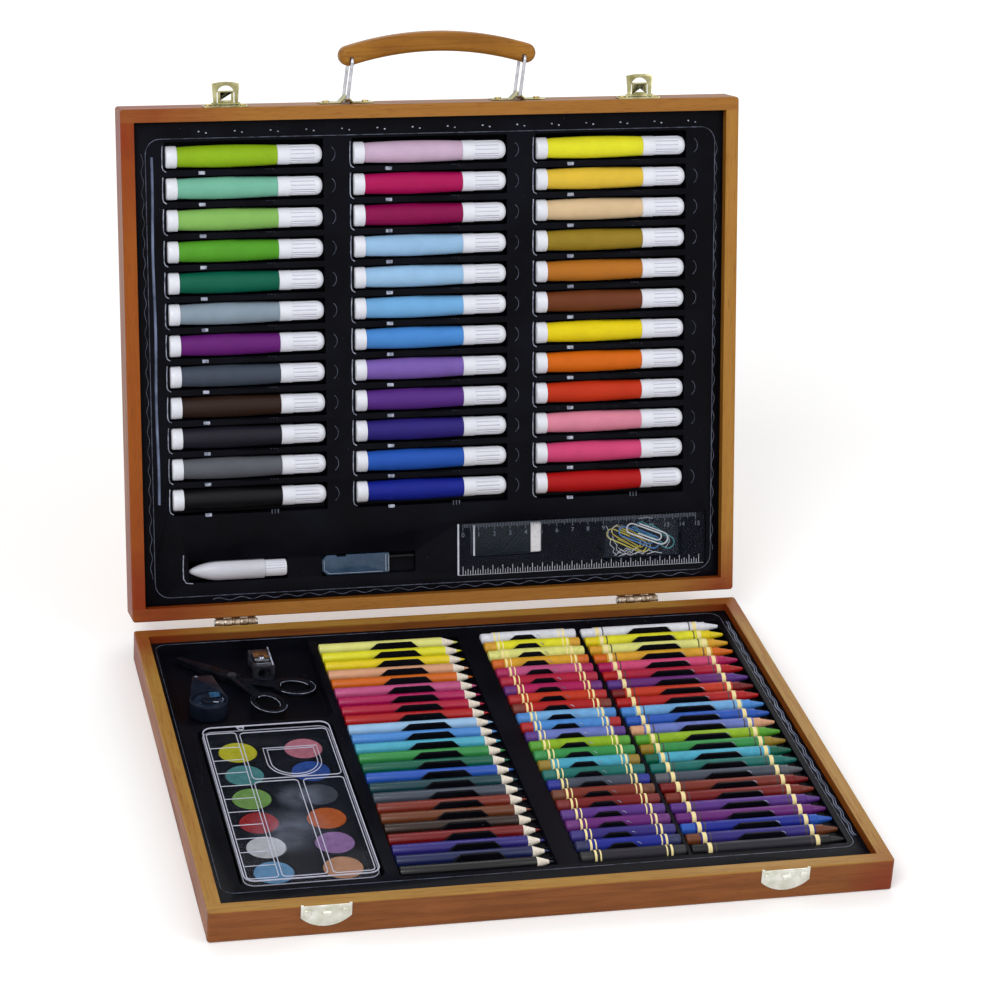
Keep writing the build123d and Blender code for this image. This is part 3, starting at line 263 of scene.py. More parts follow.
def moulded(name, colour, shade, patch, rough, skin=0.1, **sockets):
    """A moulded, cast or plated surface: two close tones in soft patches and a fine uneven skin."""
    finish = Finish(name, **sockets)
    place = finish.place()
    cloud = finish.noise(place, patch)
    finish.colour(finish.mix(finish.spread(cloud, 0.35, 0.65), tone(*colour), tone(*shade)))
    finish.roughness(finish.spread(cloud, 0.3, 0.7, rough * 0.8, rough * 1.25))
    finish.skin(finish.noise(place, patch * 9), skin, 0.1 * mm)
    return finish.material


def metal(name, colour, shade, patch, rough):
    return moulded(name, colour, shade, patch, rough, Metallic=1.0)


def tinted(name, rough, depth=0.12, patch=160, skin=0.1, **sockets):
    """A coloured surface that takes its colour from the piece, a little uneven."""
    finish = Finish(name, **sockets)
    place = finish.place()
    own = finish.node("Attribute", attribute_name="colour").outputs["Color"]
    cloud = finish.noise(place, patch)
    shade = finish.mix(1.0, own, (1 - depth, 1 - depth, 1 - depth, 1), "MULTIPLY")
    finish.colour(finish.mix(finish.spread(cloud, 0.35, 0.7), own, shade))
    finish.roughness(finish.spread(cloud, 0.3, 0.7, rough * 0.8, rough * 1.2))
    finish.skin(finish.noise(place, patch * 6), skin, 0.1 * mm)
    return finish.material


def wood(name, along, light, middle, dark, rim=None, lid=False, painted_shades=(), rim_colour=(162, 122, 54)):
    """Lacquered wood, grain along one axis, lighter at its top rim, red painted shade at given corners."""
    finish = Finish(name, Coat_Weight=0.12, Coat_Roughness=0.25, Specular_IOR_Level=0.16)
    grain_scale = [330, 330, 330]
    grain_scale["XYZ".index(along)] = 16
    pore_scale = [1500, 1500, 1500]
    pore_scale["XYZ".index(along)] = 90
    place = finish.place(lid=lid)
    grain = finish.noise(finish.place(grain_scale, lid), 1.0, 6.0, 0.8)
    pores = finish.noise(finish.place(pore_scale, lid), 1.0, 3.0)
    cloud = finish.noise(place, 17, 3.0, 0.4)
    body = finish.mix(finish.spread(cloud, 0.36, 0.64), tone(*middle), tone(*light))
    body = finish.mix(finish.spread(grain, 0.42, 0.72, 0, 0.62), body, tone(*dark))
    if rim is not None:
        height = finish.split(place)["Z"]
        top = finish.mix(finish.spread(grain, 0.4, 0.75, 0, 0.45), tone(*rim_colour), tone(*middle))
        body = finish.mix(finish.spread(height, rim - 1.1 * mm, rim - 0.2 * mm), body, top)
    # Red painted shade, spread from each given corner, patchy
    for spot, reach in painted_shades:
        near = finish.near(place, spot, reach * 0.25, reach, 0.72, 0)
        patchy = finish.math("MULTIPLY", near, finish.spread(cloud, 0.3, 0.55, 0.5, 1))
        body = finish.mix(patchy, body, tone(122, 24, 4))
    body = finish.mix(finish.spread(pores, 0.56, 0.74, 0, 0.6), body, tone(*dark))
    finish.colour(body)
    finish.roughness(finish.spread(grain, 0.3, 0.7, 0.36, 0.52))
    finish.skin(grain, 0.18, 0.25 * mm)
    return finish.material


def black_sheet(name, lid):
    """Black formed sheet, a little shiny, with faint dust and a slight ripple."""
    finish = Finish(name, Specular_IOR_Level=0.05)
    place = finish.place(lid=lid)
    dust = finish.noise(place, 900, 2.0)
    cloud = finish.noise(place, 30)
    body = finish.mix(finish.spread(cloud, 0.35, 0.65), tone(7, 7, 12), tone(12, 13, 20))
    finish.colour(finish.mix(finish.spread(dust, 0.76, 0.8, 0, 0.6), body, tone(150, 155, 175)))
    finish.roughness(finish.spread(cloud, 0.3, 0.7, 0.26, 0.4))
    finish.skin(finish.noise(place, 130, 2.0), 0.12, 0.3 * mm)
    return finish.material


def banded(name, colour_bands, rough, **sockets):
    """Wrapper paper in the piece's own colour, with bands at given shares of its length from each end."""
    finish = Finish(name, **sockets)
    own = finish.node("Attribute", attribute_name="colour").outputs["Color"]
    along = finish.split(finish.coordinates.outputs["UV"])["X"]
    place = finish.place()
    cloud = finish.noise(place, 220)
    body = finish.mix(finish.spread(cloud, 0.35, 0.7, 0, 0.2), own, tone(30, 26, 30))
    for share, half, colour in colour_bands:
        for middle in (share, 1 - share):
            off = finish.math("ABSOLUTE", finish.math("SUBTRACT", along, middle), 0.0)
            body = finish.mix(finish.spread(off, half, half + 0.004, 1, 0), body, tone(*colour))
    finish.colour(body)
    finish.roughness(finish.spread(cloud, 0.3, 0.7, rough, rough + 0.15))
    finish.skin(finish.noise(place, 1500), 0.12, 0.1 * mm)
    return finish.material


def clear(name, colour, rough, alpha, streak=60, **sockets):
    """Thin clear plastic, slightly streaked."""
    finish = Finish(name, Alpha=alpha, **sockets)
    place = finish.place()
    cloud = finish.noise(place, streak)
    pale = tuple(min(255, part + 14) for part in colour)
    finish.colour(finish.mix(finish.spread(cloud, 0.35, 0.65), tone(*colour), tone(*pale)))
    finish.roughness(finish.spread(cloud, 0.3, 0.7, rough, rough + 0.06))
    finish.skin(finish.noise(place, streak * 4), 0.1, 0.1 * mm)
    return finish.material


def hazy_sheet(name, alpha):
    """A thin clear sheet, dark where it shows what lies below and pale blue in two patches of painted
    reflection.
    """
    finish = Finish(name, Alpha=alpha, Specular_IOR_Level=0.2)
    place = finish.place()
    cloud = finish.noise(place, 60, 3.0, 0.6)
    body = tone(24, 28, 38)
    for spot, reach in PAINTED_REFLECTION_SPOTS:
        near = finish.near(place, spot, reach * 0.2, reach, 0.9, 0)
        patchy = finish.math("MULTIPLY", near, finish.spread(cloud, 0.35, 0.6, 0.3, 1))
        body = finish.mix(patchy, body, tone(176, 188, 214))
    finish.colour(body)
    finish.roughness(finish.spread(cloud, 0.3, 0.7, 0.06, 0.12))
    finish.skin(finish.noise(place, 240), 0.06, 0.1 * mm)
    return finish.material


# Corners of the lid and the base from which red painted shade spreads over the wood, each with its reach
lid_painted_shades = [
    ((-half_width, half_depth, lid_height), 78 * mm),
    ((-half_width, -half_depth, lid_height), 96 * mm),
    ((half_width, -half_depth, lid_height), 40 * mm),
]
base_painted_shades = [
    ((-half_width, half_depth, base_height), 60 * mm),
    ((half_width, half_depth, base_height), 46 * mm),
    ((half_width, -half_depth, 0), 30 * mm),
]
FINISHES = {
    "base_long": wood("lacquered_wood_base_long", "X", (136, 80, 36), (124, 70, 30), (98, 50, 20),
                      base_height, painted_shades=base_painted_shades),
    "base_side": wood("lacquered_wood_base_side", "Y", (146, 80, 20), (130, 62, 12), (94, 36, 6),
                      base_height, painted_shades=base_painted_shades),
    "lid_long": wood("lacquered_wood_lid_long", "X", (146, 92, 28), (130, 76, 18), (98, 50, 8),
                     lid_height, True, lid_painted_shades, (158, 106, 44)),
    "lid_left": wood("lacquered_wood_lid_left", "Y", (142, 74, 12), (126, 60, 6), (96, 40, 2),
                     lid_height, True, lid_painted_shades, (150, 78, 16)),
    "lid_right": wood("lacquered_wood_lid_right", "Y", (152, 102, 34), (136, 84, 22), (104, 58, 10),
                      lid_height, True, lid_painted_shades, (166, 118, 50)),
    "base_board": wood("thin_board_base", "X", (204, 160, 106), (188, 142, 88), (150, 104, 60)),
    "lid_board": wood("thin_board_lid", "X", (192, 132, 74), (176, 112, 56), (130, 74, 32), lid=True),
    "grip": wood("shaped_grip_wood", "X", (158, 106, 34), (138, 86, 20), (108, 64, 12), lid=True),
    # Painted shade for the grip's recesses
    "painted_recess_shade": moulded("recess_painted_shade", (58, 26, 14), (38, 16, 10), 300, 0.7),
    "base_tray": black_sheet("black_sheet_base", False),
    "lid_tray": black_sheet("black_sheet_lid", True),
    # Painted highlights for the raised lines of the black sheets and for small parts, from bright to dim
    "bright_painted_highlight": moulded("sheet_edge_painted_highlight", (186, 192, 210), (96, 102, 122), 260, 0.2),
    "ridge_painted_highlight": moulded("sheet_ridge_painted_highlight", (112, 124, 154), (66, 76, 100), 60, 0.2),
    "dim_painted_highlight": moulded("sheet_line_dim_painted_highlight", (92, 98, 118), (32, 35, 48), 240, 0.3),
    "hinge": metal("worn_hinge_plate", (190, 176, 160), (112, 92, 72), 420, 0.3),
    "brass": metal("brassed_screw", (196, 176, 120), (150, 128, 78), 500, 0.28),
    "plate": metal("nickel_brass_plate", (196, 190, 146), (140, 134, 88), 160, 0.24),
    "keeper": moulded("pale_nickel_plate", (232, 232, 224), (206, 206, 190), 160, 0.3, Metallic=0.7),
    "pin": metal("steel_pin", (190, 190, 186), (150, 150, 146), 300, 0.25),
    "wire": metal("bright_wire", (214, 214, 220), (176, 176, 186), 260, 0.18),
    "cone": moulded("sharpened_pencil_wood", (242, 236, 226), (222, 206, 184), 900, 0.7, 0.3),
    "pencil": tinted("pencil_lacquer", 0.3, Coat_Weight=0.15, Coat_Roughness=0.15, Specular_IOR_Level=0.3),
    "lead": tinted("pencil_lead", 0.5, 0.2),
    "stick": tinted("pastel_wax", 0.55, 0.2, 420, 0.3),
    "wax": tinted("crayon_wax", 0.4, 0.16, 420, 0.2, Specular_IOR_Level=0.3),
    "pastel_paper": banded("pastel_wrapper_paper", [
        (0.03, 0.012, (244, 226, 160)), (0.09, 0.006, (244, 226, 160)),
    ], 0.4, Specular_IOR_Level=0.25),
    "crayon_paper": banded("crayon_wrapper_paper", [
        (0.035, 0.016, (240, 222, 160)), (0.085, 0.004, (70, 60, 60)),
    ], 0.34, Coat_Weight=0.08, Specular_IOR_Level=0.25),
    "pan": tinted("pressed_paint", 0.85, 0.2, 260, 0.5),
    "palette": moulded("black_palette_plastic", (14, 16, 22), (18, 22, 32), 45, 0.35,
                       Specular_IOR_Level=0.08),
    "cover": hazy_sheet("clear_cover_sheet", 0.16),
    "pale_line_painted_highlight": clear("clear_plastic_painted_highlight", (214, 216, 234), 0.12, 0.72, 300),
    "white_plastic": tinted("white_plastic", 0.35, 0.05, 130),
    "ink_barrel": tinted("marker_barrel_plastic", 0.42, 0.1, 90, 0.08, Specular_IOR_Level=0.16),
    "scissors": moulded("black_scissors_plastic", (10, 11, 15), (18, 20, 28), 90, 0.26,
                        Specular_IOR_Level=0.1),
    "rivet": metal("dull_steel", (120, 122, 128), (86, 88, 94), 300, 0.35),
    "sharpener": moulded("sharpener_metal", (72, 74, 84), (34, 36, 46), 160, 0.4, Metallic=0.6),
    "blade": metal("cutter_steel", (216, 218, 226), (170, 172, 182), 300, 0.16),
    "dispenser": clear("dark_blue_dispenser", (16, 22, 36), 0.16, 0.9, Specular_IOR_Level=0.2),
    "tape": clear("dark_blue_tape", (24, 36, 56), 0.15, 0.9),
    "tape_end": moulded("blue_tape_end", (52, 96, 130), (30, 60, 96), 300, 0.2),
    "brush": clear("clear_blue_handle", (44, 68, 94), 0.1, 0.86, 90, Specular_IOR_Level=0.4),
    "rod": moulded("dark_rod", (34, 28, 32), (18, 15, 18), 400, 0.4, Specular_IOR_Level=0.2),
    "ruler": clear("clear_ruler", (60, 70, 90), 0.1, 0.03, 6, Specular_IOR_Level=0.1),
    # White print, also used as painted highlight on the ruler's edges
    "print": moulded("white_print_and_painted_edge_highlight", (206, 210, 222), (180, 184, 198), 700, 0.5),
    "dim_print": moulded("grey_print", (112, 120, 134), (86, 92, 106), 700, 0.5),
    "rubber": moulded("white_eraser", (236, 236, 240), (220, 220, 226), 500, 0.7, 0.3),
    "sleeve": clear("dark_clear_sleeve", (20, 26, 32), 0.2, 0.9, 20, Specular_IOR_Level=0.12),
    "bag": clear("crumpled_clear_bag", (120, 130, 150), 0.2, 0.05, 260, Specular_IOR_Level=0.3),
    "crease": clear("bag_crease_painted_highlight", (222, 226, 236), 0.2, 0.8, 500),
    "clip": tinted("coated_clip_wire", 0.25, 0.1, Coat_Weight=0.5),
}


# Shaping

def deselect():
    bpy.ops.object.select_all(action="DESELECT")


def pick(piece):
    deselect()
    piece.select_set(True)
    bpy.context.view_layer.objects.active = piece


def named(name):
    piece = bpy.context.object
    piece.name = name
    piece.data.name = name
    return piece


def settle(piece):
    """Puts a piece's place into its mesh."""
    pick(piece)
    bpy.ops.object.transform_apply(location=True, rotation=True, scale=True)


def edit(piece, wanted=None):
    """Opens a piece with the wanted faces selected, or all of it."""
    pick(piece)
    if wanted is not None:
        bpy.ops.object.mode_set(mode="EDIT")
        bpy.ops.mesh.select_mode(type="FACE")
        bpy.ops.mesh.select_all(action="DESELECT")
        bpy.ops.object.mode_set(mode="OBJECT")
        for face in piece.data.polygons:
            face.select = wanted(face)
    bpy.ops.object.mode_set(mode="EDIT")
    if wanted is None:
        bpy.ops.mesh.select_mode(type="VERT")
        bpy.ops.mesh.select_all(action="SELECT")


def close(piece, smooth=35):
    """Leaves edit mode with the faces outwards and smooth up to an angle."""
    bpy.ops.mesh.select_all(action="SELECT")
    bpy.ops.mesh.normals_make_consistent(inside=False)
    bpy.ops.object.mode_set(mode="OBJECT")
    pick(piece)
    bpy.ops.object.shade_smooth_by_angle(angle=math.radians(smooth))
    return piece


def slab(name, x0, x1, y0, y1, z0, z1, edge=0.0):
    """A block between two corners with rounded edges."""
    deselect()
    middle = ((x0 + x1) / 2, (y0 + y1) / 2, (z0 + z1) / 2)
    bpy.ops.mesh.primitive_cube_add(size=1, location=middle, scale=(x1 - x0, y1 - y0, z1 - z0))
    piece = named(name)
    settle(piece)
    edit(piece)
    if edge:
        bpy.ops.mesh.bevel(offset=edge, segments=2, affect="EDGES")
    return close(piece)


def turned(name, outline, sides=32, smooth=35):
    """A round piece about the X axis: a disc drawn out from ring to ring of (x, radius)."""
    deselect()
    x, radius = outline[0]
    bpy.ops.mesh.primitive_circle_add(
        vertices=sides, radius=radius, fill_type="NGON", location=(x, 0, 0), rotation=(0, math.pi / 2, 0)
    )
    piece = named(name)
    settle(piece)
    edit(piece)
    for next_x, next_radius in outline[1:]:
        bpy.ops.mesh.extrude_region_move(TRANSFORM_OT_translate={"value": (next_x - x, 0, 0)})
        ratio = next_radius / radius
        bpy.ops.transform.resize(value=(1, ratio, ratio), center_override=(next_x, 0, 0))
        x, radius = next_x, next_radius
    return close(piece, smooth)


def bead(name, points, radius, steps=1):
    """A round bead along a line of points."""
    deselect()
    bpy.ops.mesh.primitive_plane_add(size=mm, location=points[0])
    piece = named(name)
    settle(piece)
    edit(piece)
    bpy.ops.mesh.merge(type="CENTER")
    for start, end in zip(points, points[1:]):
        bpy.ops.mesh.extrude_region_move(TRANSFORM_OT_translate={"value": Vector(end) - Vector(start)})
    bpy.ops.mesh.select_all(action="SELECT")
    bpy.ops.mesh.remove_doubles(threshold=0.01 * mm)
    bpy.ops.object.mode_set(mode="OBJECT")
    pick(piece)
    bpy.ops.object.convert(target="CURVE")
    piece = bpy.context.object
    piece.data.bevel_depth = radius
    piece.data.bevel_resolution = steps
    piece.data.use_fill_caps = True
    bpy.ops.object.convert(target="MESH")
    piece = named(name)
    edit(piece)
    return close(piece, 60)


def arc(middle, radius, start, end, z, steps=8):
    """Points on an arc about a middle, between two angles in degrees."""
    x, y = middle
    turns = [math.radians(start + (end - start) * step / steps) for step in range(steps + 1)]
    return [(x + radius * math.cos(turn), y + radius * math.sin(turn), z) for turn in turns]


def round_outline(x0, x1, y0, y1, radius, z):
    """The points of a closed rectangle with round corners."""
    points = []
    for middle, start in (
        ((x1 - radius, y1 - radius), 0), ((x0 + radius, y1 - radius), 90),
        ((x0 + radius, y0 + radius), 180), ((x1 - radius, y0 + radius), 270),
    ):
        points += arc(middle, radius, start, start + 90, z, 6)
    return points + points[:1]


def wave(x, y0, y1, reach, pitch, z):
    """The points of a gently wavy line along Y."""
    steps = int(abs(y1 - y0) / (2.5 * mm))
    line = []
    for step in range(steps + 1):
        y = y0 + (y1 - y0) * step / steps
        line.append((x + reach * math.sin(2 * math.pi * y / pitch), y, z))
    return line


def tint(piece, paint, faces=None):
    """Gives a whole piece, or some of its faces, one colour of the chart."""
    layers = piece.data.color_attributes
    layer = layers.get("colour") or layers.new("colour", "FLOAT_COLOR", "CORNER")
    colour = tone(*PAINTS[paint])
    for face in piece.data.polygons:
        if faces is None or face.index in faces:
            for corner in face.loop_indices:
                layer.data[corner].color = colour


def groove(piece, sides, turns, first, last, width, depth):
    """Cuts a groove into the faces of a round white piece that lie at given turns about X, between
    two places on X. Turns are counted in faces from the top. The order of a drawn-out mesh's faces
    changes from run to run, so no face is chosen by its number."""
    def wanted(face):
        turn = math.floor(math.atan2(face.center.y, face.center.z) / (2 * math.pi) * sides)
        return first < face.center.x < last and face.normal.x ** 2 < 0.5 and turn in turns

    edit(piece, wanted)
    bpy.ops.mesh.inset(thickness=width, depth=-depth, use_individual=True)
    bpy.ops.object.mode_set(mode="OBJECT")
    cut = {face.index for face in piece.data.polygons if face.select}
    edit(piece)
    close(piece)
    # The cut faces are tinted grey-lavender: painted shade in the grooves
    tint(piece, "white")
    tint(piece, "groove", cut)
    return piece


def measure_along(piece, length):
    """Writes each corner's share of the length along X into the piece's own map."""
    layer = piece.data.uv_layers.get("along") or piece.data.uv_layers.new(name="along")
    for corner, link in zip(piece.data.loops, layer.data):
        spot = piece.data.vertices[corner.vertex_index].co
        link.uv = (spot.x / length, math.atan2(spot.y, spot.z) / (2 * math.pi) + 0.5)
    layer.active_render = True


def join(name, pieces):
    deselect()
    for piece in pieces:
        piece.select_set(True)
    bpy.context.view_layer.objects.active = pieces[0]
    bpy.ops.object.join()
    return named(name)


def repeat(name, model, places, paints=None):
    """Copies of a model at each place, each in its own colour, joined; the model is used up."""
    made = []
    for index, place in enumerate(places):
        twin = bpy.data.objects.new(f"{name}_{index}", model.data.copy())
        bpy.context.scene.collection.objects.link(twin)
        twin.data.transform(place)
        if paints:
            tint(twin, paints[index])
        made.append(twin)
    bpy.data.objects.remove(model)
    return join(name, made)


def at(x, y, z):
    return Matrix.Translation((x, y, z))


def tall(height):
    """Stretches a tick of one millimetre along Y."""
    return Matrix.Diagonal((1, height, 1, 1))


def hand_over(piece, body, slot, finish, *nodes, place=HERE):
    """Gives a piece its finish, its place in the case and the body that carries it."""
    piece.data.transform(place)
    piece.data.materials.clear()
    piece.data.materials.append(FINISHES[finish])
    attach(piece, body)
    if nodes:
        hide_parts(*nodes)


def body_of_node(node):
    return next(body for body, members in bodies_of_case.items() if node in members)


def dress(finish, *nodes):
    """Gives solid parts whose shape is right their finish."""
    for node in nodes:
        part = nodes_of_case[node]
        part.data.materials.clear()
        part.data.materials.append(FINISHES[finish])


def soften(node, slot, finish, edge, angle=30):
    """Stands a copy with rounded edges in for a solid part."""
    body = body_of_node(node)
    piece = bpy.data.objects.new(f"{node}_rounded", nodes_of_case[node].data.copy())
    bpy.context.scene.collection.objects.link(piece)
    pick(piece)
    bpy.ops.mesh.customdata_custom_splitnormals_clear()
    edit(piece)
    bpy.ops.mesh.remove_doubles(threshold=0.005 * mm)
    bpy.ops.mesh.dissolve_limited(angle_limit=math.radians(2))
    bpy.ops.object.mode_set(mode="OBJECT")
    rounding = piece.modifiers.new("rounding", "BEVEL")
    rounding.width = edge
    rounding.segments = 2
    rounding.limit_method = "ANGLE"
    rounding.angle_limit = math.radians(angle)
    rounding.use_clamp_overlap = True
    pick(piece)
    bpy.ops.object.modifier_apply(modifier="rounding")
    bpy.ops.object.shade_smooth_by_angle(angle=math.radians(32))
    hand_over(piece, body, slot, finish, node)


def lid_box(node):
    """The lowest and highest corner of a solid part in the lid's own frame."""
    spots = [LID_BACK @ vertex.co for vertex in nodes_of_case[node].data.vertices]
    low = Vector([min(spot[axis] for spot in spots) for axis in range(3)])
    high = Vector([max(spot[axis] for spot in spots) for axis in range(3)])
    return low, high


def rows_between(low, high, count, radius):
    """The middle lines of equal rows, from the back to the front."""
    pitch = (high - low - 2 * radius) / (count - 1)
    return [high - radius - pitch * row for row in range(count)]


# Case, fittings and trays

def dress_case():
    dress("base_long", "base_front_rail", "base_back_rail")
    dress("base_side", "base_left_rail", "base_right_rail")
    dress("lid_long", "lid_front_rail", "lid_back_rail")
    dress("lid_left", "lid_left_rail")
    dress("lid_right", "lid_right_rail")
    dress("base_board", "base_panel")
    dress("lid_board", "lid_panel")
    dress("grip", "handle_grip")
    dress("wire", "handle_ring_left", "handle_ring_right")
    dress("keeper", "base_screws")
    dress("brass", "lid_screws")
    dress("pin", "hinge_pins")
    for side in ("left", "right"):
        soften(f"hinge_{side}_base_leaf", "hardware_plate", "hinge", 0.2 * mm)
        soften(f"hinge_{side}_lid_leaf", "hardware_plate", "hinge", 0.2 * mm)
        soften(f"latch_{side}_loop", "hardware_plate", "plate", 0.3 * mm)
        soften(f"latch_{side}_lever", "hardware_plate", "plate", 0.22 * mm)
    soften("latch_plates", "hardware_plate", "plate", 0.2 * mm)
    soften("handle_brackets", "hardware_plate", "plate", 0.2 * mm)
    soften("keepers", "hardware_plate", "keeper", 0.2 * mm)
    # Flat dark patches on the grip where the handle's wires go in: painted shade of their recesses
    grip_low, grip_high = lid_box("handle_grip")
    hole_y = grip_low.y + 4.2 * mm
    slots = [at((grip_low.x + grip_high.x) / 2 + side * 53 * mm, hole_y, grip_high.z) for side in (-1, 1)]
    slot = slab("grip_slot", -1.7 * mm, 1.0 * mm, -3.9 * mm, 1.2 * mm, -0.2 * mm, 0.03 * mm, 0.1 * mm)
    hand_over(repeat("grip_slots", slot, slots), "grip", "grip_wood", "painted_recess_shade", place=LID)


def form_trays():
    soften("base_tray", "tray_black", "base_tray", 0.35 * mm)
    soften("lid_tray", "tray_black", "lid_tray", 0.45 * mm)


marker_count = 12
marker_columns = 3
marker_low, marker_high = lid_box("marker_plugs")
marker_radius = 6.7 * mm
plug_radius = 6.6 * mm
plug_length = 6.6 * mm
barrel_length = 60.4 * mm
marker_length = 94.5 * mm
marker_level = (marker_low.z + marker_high.z) / 2
marker_rows = rows_between(marker_low.y, marker_high.y, marker_count, plug_radius)
marker_pitch = marker_rows[0] - marker_rows[1]
column_pitch = (marker_high.x - plug_length - marker_low.x) / (marker_columns - 1)
marker_starts = [marker_low.x + column_pitch * column for column in range(marker_columns)]
lid_flange = lid_height - 6 * mm


def lid_tray_marks():
    """Raised lines, dots, hooks and nubs of the lid's formed tray, in the lid's own frame, coloured with
    painted highlights.
    """
    level = lid_flange
    outline = bead("frame_line", round_outline(
        -inner_x + 7 * mm, inner_x - 5.5 * mm, -inner_y + 5 * mm, inner_y - 10.4 * mm, 9 * mm, level
    ), 0.28 * mm)
    ridge_line = wave(-inner_x + 10.5 * mm, -84 * mm, 126 * mm, 0.3 * mm, 90 * mm, level)
    hand_over(bead("side_ridge", ridge_line, 0.9 * mm, 2), "lid", "tray_black", "ridge_painted_highlight", place=LID)
    side_foot, side_top = -130 * mm, 128 * mm
    ripples = [
        bead(name, wave(x, side_foot, side_top, reach, 12 * mm, level), radius)
        for name, x, reach, radius in (
            ("ripple_line", inner_x - 4.6 * mm, 0.8 * mm, 0.24 * mm),
            ("ripple_left", -inner_x + 5 * mm, 0.7 * mm, 0.2 * mm),
        )
    ]
    foot = wave(-inner_y + 2.6 * mm, -140 * mm, 170 * mm, 0.9 * mm, 14 * mm, level)
    ripples.append(bead("ripple_foot", [(x, y, z) for y, x, z in foot], 0.24 * mm))
    dots = []
    pairs = 15
    pair_pitch = 21.6 * mm
    for index in range(pairs):
        x = -143 * mm + index * pair_pitch
        dots += [at(x, inner_y - 6.4 * mm, level), at(x + 4.4 * mm, inner_y - 7.3 * mm, level)]
    dot = slab("dot", -0.5 * mm, 0.5 * mm, -0.4 * mm, 0.4 * mm, -0.2 * mm, 0.6 * mm, 0.2 * mm)
    dots = repeat("dots", dot, dots)
    slots = [at(x, y, level) for x in marker_starts for y in marker_rows]
    between = [at(x, y - marker_pitch / 2, level) for x in marker_starts for y in marker_rows]
    hook = bead("hook", [
        (-1.7 * mm, 7.2 * mm, 0), (-2.0 * mm, 2 * mm, 0), (-2.0 * mm, -5.5 * mm, 0),
        (-1.4 * mm, -7.4 * mm, 0), (0.3 * mm, -8.5 * mm, 0),
    ], 0.32 * mm)
    hooks = repeat("hooks", hook, slots)
    nub = slab("nub", 19.5 * mm, 23.4 * mm, -0.9 * mm, 1.1 * mm, -0.3 * mm, 1.5 * mm, 0.3 * mm)
    nubs = repeat("nubs", nub, between)
    pen_line = bead("pen_line", [
        (-157.4 * mm, -116 * mm, level), (-157.8 * mm, -124 * mm, level), (-157.6 * mm, -131 * mm, level),
        (-156 * mm, -133.4 * mm, level), (-152 * mm, -134 * mm, level),
    ], 0.34 * mm)
    shiny = join("lid_tray_shine", [dots, hooks, nubs, pen_line])
    hand_over(shiny, "lid", "tray_black", "bright_painted_highlight", place=LID)
    offsets = (60.5 * mm, 62.4 * mm, 64.3 * mm)
    rib_places = [place @ at(offset, 0.2 * mm, 0) for place in between for offset in offsets]
    rib = slab("rib", -0.35 * mm, 0.35 * mm, -1.3 * mm, 1.4 * mm, -0.2 * mm, 0.7 * mm)
    ribs = repeat("ribs", rib, rib_places)
    scallop = bead("scallop", arc((0, 0), 5.2 * mm, -55, 55, 0, 6), 0.2 * mm)
    scallops = repeat("scallops", scallop, [place @ at(97 * mm, 0, 0) for place in slots])
    dull = join("lid_tray_ribs", [outline, ribs, scallops] + ripples)
    hand_over(dull, "lid", "tray_black", "dim_painted_highlight", place=LID)


stick_rows = 24
pencil_low, pencil_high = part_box("pencil_barrels")
pastel_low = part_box("pastel_wrappers")[0]
crayon_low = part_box("crayon_wrappers")[0]
pencil_radius = 3.6 * mm
row_lines = rows_between(pencil_low.y, pencil_high.y, stick_rows, pencil_radius)
row_pitch = row_lines[0] - row_lines[1]
base_flange = base_height - 5 * mm


def base_tray_marks():
    """Raised lines and small glints of the base's formed tray, coloured with painted highlights."""
    level = base_flange
    outline = bead("base_line", round_outline(
        -inner_x + 3.2 * mm, inner_x - 6 * mm, -inner_y + 16 * mm, inner_y - 3 * mm, 7 * mm, level
    ), 0.26 * mm)
    ripples = [
        bead("base_ripple", wave(inner_x - off, -120 * mm, 132 * mm, 0.6 * mm, 14 * mm, level), 0.36 * mm)
        for off in (2.8 * mm, 4.1 * mm)
    ]
    hand_over(join("base_tray_ripples", ripples), "base", "tray_black", "ridge_painted_highlight")
    tab_top = 17.3 * mm
    glint_columns = (pencil_low.x + 52 * mm, pastel_low.x + 28 * mm, crayon_low.x + 47 * mm)
    spots = [at(x, y - row_pitch / 2, tab_top) for y in row_lines[:-1] for x in glint_columns]
    glint = bead("glint", [
        (-1.2 * mm, 0.4 * mm, 0.1 * mm), (0.2 * mm, 0.1 * mm, -0.2 * mm), (1.2 * mm, -0.3 * mm, -1.0 * mm),
    ], 0.22 * mm)
    glints = repeat("glints", glint, spots)
    hand_over(outline, "base", "tray_black", "dim_painted_highlight")
    hand_over(glints, "base", "tray_black", "bright_painted_highlight")


# Sticks of the base

def along_rows(x, level):
    return [at(x, y, level) for y in row_lines]


def pencils():
    low, high = pencil_low, pencil_high
    level = (low.z + high.z) / 2
    length = high.x - low.x
    barrel = turned("pencil_barrel", [
        (0, pencil_radius * 0.8), (0.25 * mm, pencil_radius - 0.15 * mm), (0.6 * mm, pencil_radius),
        (length * 0.5, pencil_radius), (length - 0.3 * mm, pencil_radius),
        (length, pencil_radius - 0.1 * mm),
    ], 24)
    barrels = repeat("pencil_barrels_painted", barrel, along_rows(low.x, level), PENCIL_PAINTS)
    hand_over(barrels, "pencils", "pencil_paint", "pencil", "pencil_barrels")
    cone_low, cone_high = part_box("pencil_cones")
    cone_length = cone_high.x - cone_low.x
    cone = turned("pencil_cone", [
        (0, pencil_radius - 0.1 * mm), (cone_length * 0.06, pencil_radius * 0.93), (cone_length, 1.1 * mm),
    ], 24, 50)
    cones = repeat("pencil_cones_cut", cone, along_rows(cone_low.x, level))
    hand_over(cones, "pencils", "pencil_wood", "cone", "pencil_cones")
    lead_low, lead_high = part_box("pencil_leads")
    lead_length = lead_high.x - lead_low.x
    lead = turned("pencil_lead", [
        (0, 1.1 * mm), (lead_length * 0.88, 0.36 * mm), (lead_length, 0.14 * mm),
    ], 12, 50)
    leads = repeat("pencil_leads_cut", lead, along_rows(lead_low.x, level), PENCIL_PAINTS)
    hand_over(leads, "pencils", "pencil_core", "lead", "pencil_leads")


